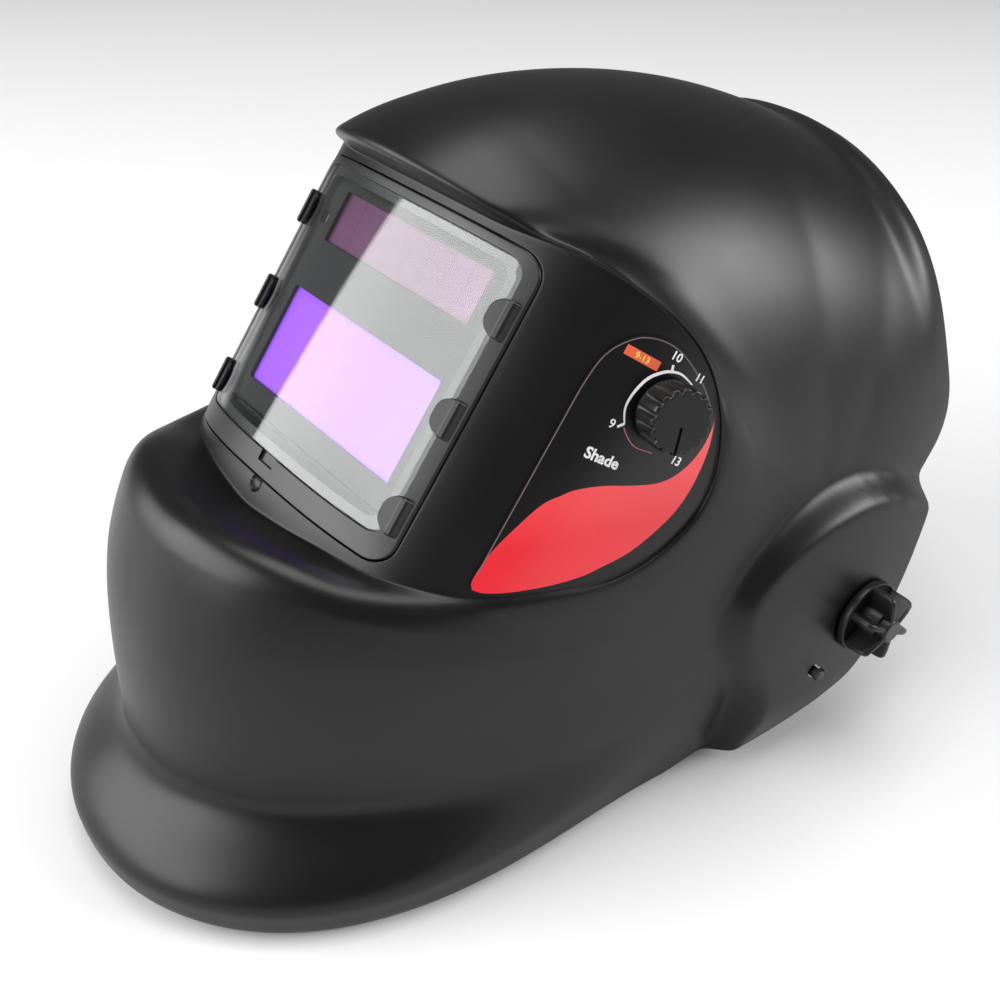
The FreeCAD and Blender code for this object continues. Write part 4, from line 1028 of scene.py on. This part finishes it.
def words(text, size, centre, turn=0.0, bold=0.0, squeeze=1.0):
    """generic lettering as a flat drawing"""
    curve = bpy.data.curves.new("words", "FONT")
    curve.body = text
    curve.size = size
    curve.offset = bold
    curve.align_x = "CENTER"
    curve.align_y = "CENTER"
    curve.resolution_u = 3
    obj = bpy.data.objects.new("words", curve)
    bpy.context.scene.collection.objects.link(obj)
    bpy.context.view_layer.update()
    mesh = bpy.data.meshes.new_from_object(obj.evaluated_get(bpy.context.evaluated_depsgraph_get()))
    bm = bmesh.new()
    bm.from_mesh(mesh)
    bpy.data.objects.remove(obj)
    bmesh.ops.scale(bm, vec=(squeeze, 1, 1), verts=bm.verts)
    bmesh.ops.rotate(bm, cent=(0, 0, 0), matrix=Matrix.Rotation(math.radians(turn), 3, "Z"), verts=bm.verts)
    bmesh.ops.translate(bm, vec=(centre[0], centre[1], 0), verts=bm.verts)
    return bm


LABEL = [(89.9, -31), (89.9, 4), (89.9, 37), (91.2, 50), (95.4, 58.0), (102.0, 63.0), (112.5, 64.0),
         (125.5, 59), (135.5, 52.2), (141.5, 44.8), (145.3, 25.7), (139.5, 6.7), (127.5, -9.7),
         (111.2, -23.4), (94.7, -33.0)]


def label_outline():
    straight = np.array([(89.9, v) for v in np.linspace(-27, 37, 12)])
    ends = [(91.4, -33.4), (89.95, -31.6), (89.9, -27), (89.9, -20)]
    bend = curve_through([(89.9, 30)] + LABEL[2:] + ends, closed=False, per=6)
    return np.concatenate([straight[:-1], bend[6:-7]])


def build_label():
    label = conformed("label_look", drawing(label_outline()), 0.6, 0.4, LABEL_M)
    place(label, "shell", "label_gloss", "shade_label")
    swoosh = curve_through(
        [(137.6, 51.8), (139.3, 46.8), (140.0, 40.5), (138.7, 33.9), (136.0, 28.5), (132.0, 24.2),
         (127.0, 21.2), (120.9, 18.4), (113.0, 14.9), (105.8, 10.3), (101.9, 6.2), (97.7, 0.6),
         (93.6, -10.8), (91.2, -19.3), (90.4, -25.3), (90.15, -29.5), (90.4, -31.6)], closed=False)
    lower = curve_through(
        [(91.5, -33.1), (94.5, -32.7), (98.5, -31.0), (104.4, -27.6), (114.7, -20.7), (122.9, -14.2),
         (127.0, -9.9), (135.0, -0.8), (141.0, 10.2), (144.2, 19.5), (144.6, 29.6), (142.6, 40.6),
         (138.4, 49.7)],
        closed=False)
    parts = [("print_red", drawing(np.concatenate([swoosh, lower])), RED)]
    edge = label_outline()
    pale = [p for p in edge if p[0] < 137 and (p[1] > 36.5 or (p[0] < 90.0 and p[1] > -28))]
    pale = np.array(sorted(pale, key=lambda p: (p[1] if p[0] < 90.0 else 100 + p[0])))
    inner = pale + np.where(pale[:, :1] < 90.0, [[0.75, 0.0]], 0)
    centre = np.array([115.0, 30.0])
    inner = np.where(pale[:, :1] < 90.0, pale + [0.7, 0], centre + (pale - centre) * 0.975)
    parts.append(("print_edge", drawing(stroke(inner, 0.36)), PINK_EDGE))
    arc = curve_through([(108.7, 35.1), (106.3, 39.6), (106.2, 44.8), (107.9, 50.6), (111.0, 54.3),
                         (114.0, 56.2), (118.0, 57.0), (123.2, 55.8)], closed=False)
    t = np.linspace(0, 1, len(arc))
    width = 0.35 + 0.65 * np.sin(PI * t) ** 0.8
    parts.append(("print_arc", drawing(stroke(arc, width)), WHITE))
    for i, (a, b) in enumerate((((108.6, 35.2), (107.0, 33.4)), ((114.2, 56.3), (113.5, 58.3)),
                                ((124.9, 54.2), (125.6, 55.0)), ((130.2, 36.6), (131.6, 34.9)))):
        line = np.linspace(a, b, 3)
        parts.append((f"print_tick_{i}", drawing(stroke(line, 0.8)), WHITE))
    fine = curve_through([(109.1, 34.1), (112.5, 31.6), (116.4, 30.3), (122.6, 31.0)], closed=False)
    parts.append(("print_fine", drawing(stroke(fine, 0.3)), PINK))
    parts.append(("print_tag", drawing([(96.9, 57.3), (109.4, 57.3), (109.4, 54.1), (96.9, 54.1)]), TAG))
    for i, (text, size, at, turn, bold) in enumerate((
            ("9", 4.2, (105.0, 33.4), 0, 0.05), ("10", 4.0, (113.2, 61.0), 0, 0.05),
            ("11", 3.7, (124.6, 58.6), 0, 0.05), ("12", 4.0, (134.8, 45.0), 0, 0.05),
            ("13", 4.2, (132.8, 32.2), 0, 0.05), ("Shade", 5.2, (107.9, 22.4), 4, 0.15))):
        parts.append((f"print_word_{i}", words(text, size, at, turn, bold), WHITE))
    parts.append(("print_range", words("9-13", 2.9, (103.1, 55.6), 0, 0.03), YELLOW))
    for i, (name, bm, mat) in enumerate(parts):
        high = 0.69 if name not in ("print_range",) else 0.74
        piece = conformed(name, bm, high, 0.1, mat)
        place(piece, "shell", "label_gloss")


PINK_EDGE = material("pale_edge_print", (0.15, 0.11, 0.11), 0.4)
build_label()


# ---------------------------------------------------------------- shade dial
def build_dial():
    count = 16 * 14
    t = 2 * PI * np.arange(count) / count
    flute = np.clip(np.cos(16 * t) * 1.35, -1, 0.9)
    def ring(r, z, depth):
        rr = r - depth * np.maximum(-flute, 0) ** 0.8
        return metres(in_dial(rr * np.cos(t), rr * np.sin(t), z))
    rings = [ring(10.2, 1.7, 0.0), ring(10.9, 2.1, 0.1), ring(11.0, 3.2, 0.35), ring(11.0, 4.0, 1.0),
             ring(10.9, 11.5, 1.15), ring(10.8, 12.2, 1.15), ring(10.6, 12.55, 1.1), ring(10.2, 12.7, 1.0),
             ring(9.2, 12.7, 0.4), ring(6.0, 12.7, 0.0)]
    dial = loops("shade_dial_look", rings, DIAL_M, sharp=50)
    a = math.radians(-162 + 90)
    ux, uy = math.cos(a), math.sin(a)
    p = [(1.5 * ux - 0.55 * -uy * s, 1.5 * uy - 0.55 * ux * s) for s in (1, -1)]
    q = [(12 * ux - 0.55 * -uy * s, 12 * uy - 0.55 * ux * s) for s in (-1, 1)]
    pts = [tuple(in_dial(x, y, 11.9)) for x, y in p + q]
    cut(dial, [block_tool(pts, DIAL_N * 3)])
    smooth(dial, 45)
    place(dial, "shade_dial_unit", "dial_black", "shade_dial")


build_dial()


# ---------------------------------------------------------------- star knobs
def build_knob(side, body, node):
    def at(r, h, a):
        x = np.full(len(r), side * (EAR_X + 0.4 + h))
        return metres(np.stack([x, PIVOT_Y + r * np.cos(a), PIVOT_Z + r * np.sin(a)], -1))
    t = 2 * PI * np.arange(96) / 96
    def lathe(profile, mat, name):
        return loops(name, [at(np.full(96, r), h, t) for r, h in profile], mat, sharp=40)
    parts = [lathe([(5.8, 0), (14.4, 0), (14.9, 0.3), (15.0, 0.8), (15.0, 2.4), (14.8, 3.0), (14.3, 3.2),
                    (13.9, 3.05), (13.6, 2.6), (7.0, 2.6)], KNOB_M, "flange"),
             lathe([(6.6, 2.0), (6.5, 9.8), (6.2, 10.2), (4.9, 10.3), (4.8, 13.4), (4.6, 13.9),
                     (4.2, 14.15), (3.9, 14.2)], KNOB_M, "hub"),
             lathe([(4.0, 13.6), (4.0, 14.28), (3.8, 14.36), (3.4, 14.38)], HUB, "cap")]
    for k in range(6):
        a = math.radians(60 * k + 30)
        profile = [(4.0, 2.5), (14.3, 2.5), (14.4, 4.5), (14.4, 7.5), (14.3, 10.2), (13.9, 11.9),
                   (12.9, 12.9), (10.0, 13.4), (6.5, 13.75), (4.0, 13.8)]
        rings = []
        for z, inset in ((-1, 0.9), (-1, 0.3), (-1, 0.0), (1, 0.0), (1, 0.3), (1, 0.9)):
            ring = []
            for r, h in profile:
                half = 1.45 - 0.02 * (h - 2.5)
                w = {0.9: 1.0, 0.3: 0.86, 0.0: 0.45}[inset] * half
                rr = r - inset * (1 if r > 5 else 0) * 0.8
                hh = h - inset * (0.8 if h > 4 else 0)
                ring.append((rr, hh, z * w))
            ring = np.array(ring)
            y = ring[:, 0] * math.cos(a) - ring[:, 2] * math.sin(a)
            zz = ring[:, 0] * math.sin(a) + ring[:, 2] * math.cos(a)
            rings.append(metres(np.stack([side * (EAR_X + 0.4 + ring[:, 1]), PIVOT_Y + y, PIVOT_Z + zz], -1)))
        parts.append(loops("fin", rings, KNOB_M, sharp=60))
    knob = joined(f"knob_{body[5:]}_look", parts)
    place(knob, body, "shell_black", node)


build_knob(1, "knob_left", "pivot_knob_left")
build_knob(-1, "knob_right", "pivot_knob_right")


# ---------------------------------------------------------------- soft pieces
RING_Y, RING_A, RING_B, RING_N, RING_Z = 160.0, 81.0, 97.5, 3.2, 95.0


def ring_point(a, grow):
    c, s = math.cos(a), math.sin(a)
    return (math.copysign((RING_A + grow) * abs(c) ** (2 / RING_N), c),
            RING_Y + math.copysign((RING_B + grow) * abs(s) ** (2 / RING_N), s))


def remeshed(obj, voxel):
    m = obj.modifiers.new("voxels", "REMESH")
    m.mode = "VOXEL"
    m.voxel_size = voxel
    applied(obj)


def inflate(obj, pressure, cap, pins, frames=20):
    """swells the pad as cloth, holding the points that pins picks and capping the travel"""
    rest = np.array([v.co[:] for v in obj.data.vertices])
    group = obj.vertex_groups.new(name="held")
    held = [i for i, p in enumerate(rest) if pins(p)]
    group.add(held, 1.0, "REPLACE")
    m = obj.modifiers.new("swell", "CLOTH")
    m.settings.use_pressure = True
    m.settings.uniform_pressure_force = pressure
    m.settings.effector_weights.gravity = 0
    m.settings.vertex_group_mass = "held"
    m.settings.quality = 5
    m.settings.tension_stiffness = 12
    m.settings.compression_stiffness = 12
    scene = bpy.context.scene
    for f in range(1, frames + 1):
        scene.frame_set(f)
    graph = bpy.context.evaluated_depsgraph_get()
    moved = bpy.data.meshes.new_from_object(obj.evaluated_get(graph))
    co = np.array([v.co[:] for v in moved.vertices])
    obj.modifiers.clear()
    bpy.data.meshes.remove(moved)
    travel = co - rest
    size = np.linalg.norm(travel, axis=1, keepdims=True)
    travel *= np.minimum(1, cap / np.maximum(size, 1e-9))
    obj.data.vertices.foreach_set("co", (rest + travel).ravel())
    obj.data.update()
    scene.frame_set(1)
    obj.vertex_groups.clear()


def band_block(a0, a1, low, high, z0, z1, count=60):
    """upright pad along the head ring, tapered a little at its ends"""
    rings = []
    for i in range(count + 1):
        q = i / count
        a = a0 + (a1 - a0) * q
        end = min(q, 1 - q) * count
        t = min(1.0, 0.55 + 0.15 * end)
        mid = (low + high) / 2
        ring = []
        for k in range(24):
            w = 2 * PI * k / 24
            cx, cz = math.cos(w), math.sin(w)
            sx = math.copysign(abs(cx) ** 0.5, cx)
            sz = math.copysign(abs(cz) ** 0.35, cz)
            x, y = ring_point(a, mid + sx * (high - low) / 2 * t)
            ring.append((x, y, (z0 + z1) / 2 + sz * (z1 - z0) / 2 * min(1, 0.86 + 0.04 * end)))
        rings.append(metres(ring))
    return loops("pad", rings, sharp=180)


def build_sweatband():
    pad = band_block(-PI / 2 - 1.02, -PI / 2 + 1.02, -5.4, -1.3, RING_Z - 12.4, RING_Z + 12.4)
    remeshed(pad, 0.0022)
    inflate(pad, 4.0, 0.0012, lambda p: ring_gap(p) > -1.9)
    subdivided(pad, 1)
    pad.name = "sweatband_look"
    pad.data.materials.clear()
    pad.data.materials.append(SWEAT)
    pad.data.shade_smooth()
    place(pad, "headgear", "sweat_cloth", "sweatband")


def ring_gap(p):
    """how far a point stands off the band's middle line, in millimetres"""
    x, y = p[0] * 1000, p[1] * 1000 + CENTRE_Y - RING_Y
    value = (abs(x) / RING_A) ** RING_N + (abs(y) / RING_B) ** RING_N
    return (value ** (1 / RING_N) - 1) * math.hypot(x, y)


def build_rear_pad():
    rings = []
    for y, grow in ((247.7, -1.6), (248.1, -0.7), (249.0, -0.1), (250.6, -0.1), (251.6, -0.5), (252.0, -1.2)):
        p = rounded_loop((-29.6 - grow, 29.6 + grow, 70.4 - grow, 119.6 + grow), 10, 20, 16, 6)
        rings.append(metres(np.stack([p[:, 0], np.full(len(p), y), p[:, 1]], 1)))
    pad = loops("pad", rings, sharp=180)
    remeshed(pad, 0.0022)
    inflate(pad, 4.0, 0.0014, lambda p: p[1] > 0.1694)
    subdivided(pad, 1)
    pad.name = "rear_pad_look"
    pad.data.materials.clear()
    pad.data.materials.append(PAD)
    pad.data.shade_smooth()
    place(pad, "headgear", "pad_foam", "rear_pad")


build_sweatband()
build_rear_pad()


# ---------------------------------------------------------------- studio
def build_floor():
    floor = new_object("floor", [(-6, -6, 0), (6, -6, 0), (6, 6, 0), (-6, 6, 0)], [(0, 1, 2, 3)])
    mat = material("floor_paper", (0.68, 0.68, 0.685), 0.9, mottle=0.0)
    floor.data.materials.append(mat)


def area(name, at, look, size, energy, colour=(1, 1, 1), size_y=None):
    light = bpy.data.lights.new(name, "AREA")
    light.energy = energy
    light.color = colour
    light.shape = "RECTANGLE"
    light.size = size
    light.size_y = size_y or size
    obj = bpy.data.objects.new(name, light)
    obj.location = at
    obj.rotation_euler = (Vector(look) - Vector(at)).to_track_quat("-Z", "Y").to_euler()
    bpy.context.scene.collection.objects.link(obj)
    return obj


def build_studio():
    world = bpy.data.worlds.new("studio")
    world.use_nodes = True
    world.node_tree.nodes["Background"].inputs[0].default_value = (1, 1, 1, 1)
    world.node_tree.nodes["Background"].inputs[1].default_value = 0.19
    bpy.context.scene.world = world
    area("front_box", (-0.62, -1.55, 0.92), (0.0, -0.09, 0.20), 2.3, 56, size_y=1.25)
    area("top_box", (0.0, 0.15, 1.75), (0, 0, 0.14), 1.2, 22)
    area("rear_box", (1.25, 1.35, 0.95), (0, 0.05, 0.14), 1.1, 31, size_y=0.7)


def build_camera():
    cam = bpy.data.cameras.new("camera")
    cam.lens = 46.8
    cam.sensor_width = 36.0
    obj = bpy.data.objects.new("camera", cam)
    right = Vector((0.602155, 0.798379, 0.0))
    down = Vector((0.444157, -0.334993, -0.830966))
    ahead = Vector((-0.663426, 0.500371, -0.556323))
    m = Matrix((right, -down, -ahead)).transposed().to_4x4()
    m.translation = Vector((0.34638, -0.27358, 0.37508))
    obj.matrix_world = m
    bpy.context.scene.collection.objects.link(obj)
    bpy.context.scene.camera = obj


build_floor()
build_studio()
build_camera()
bpy.context.scene.view_settings.view_transform = "Standard"
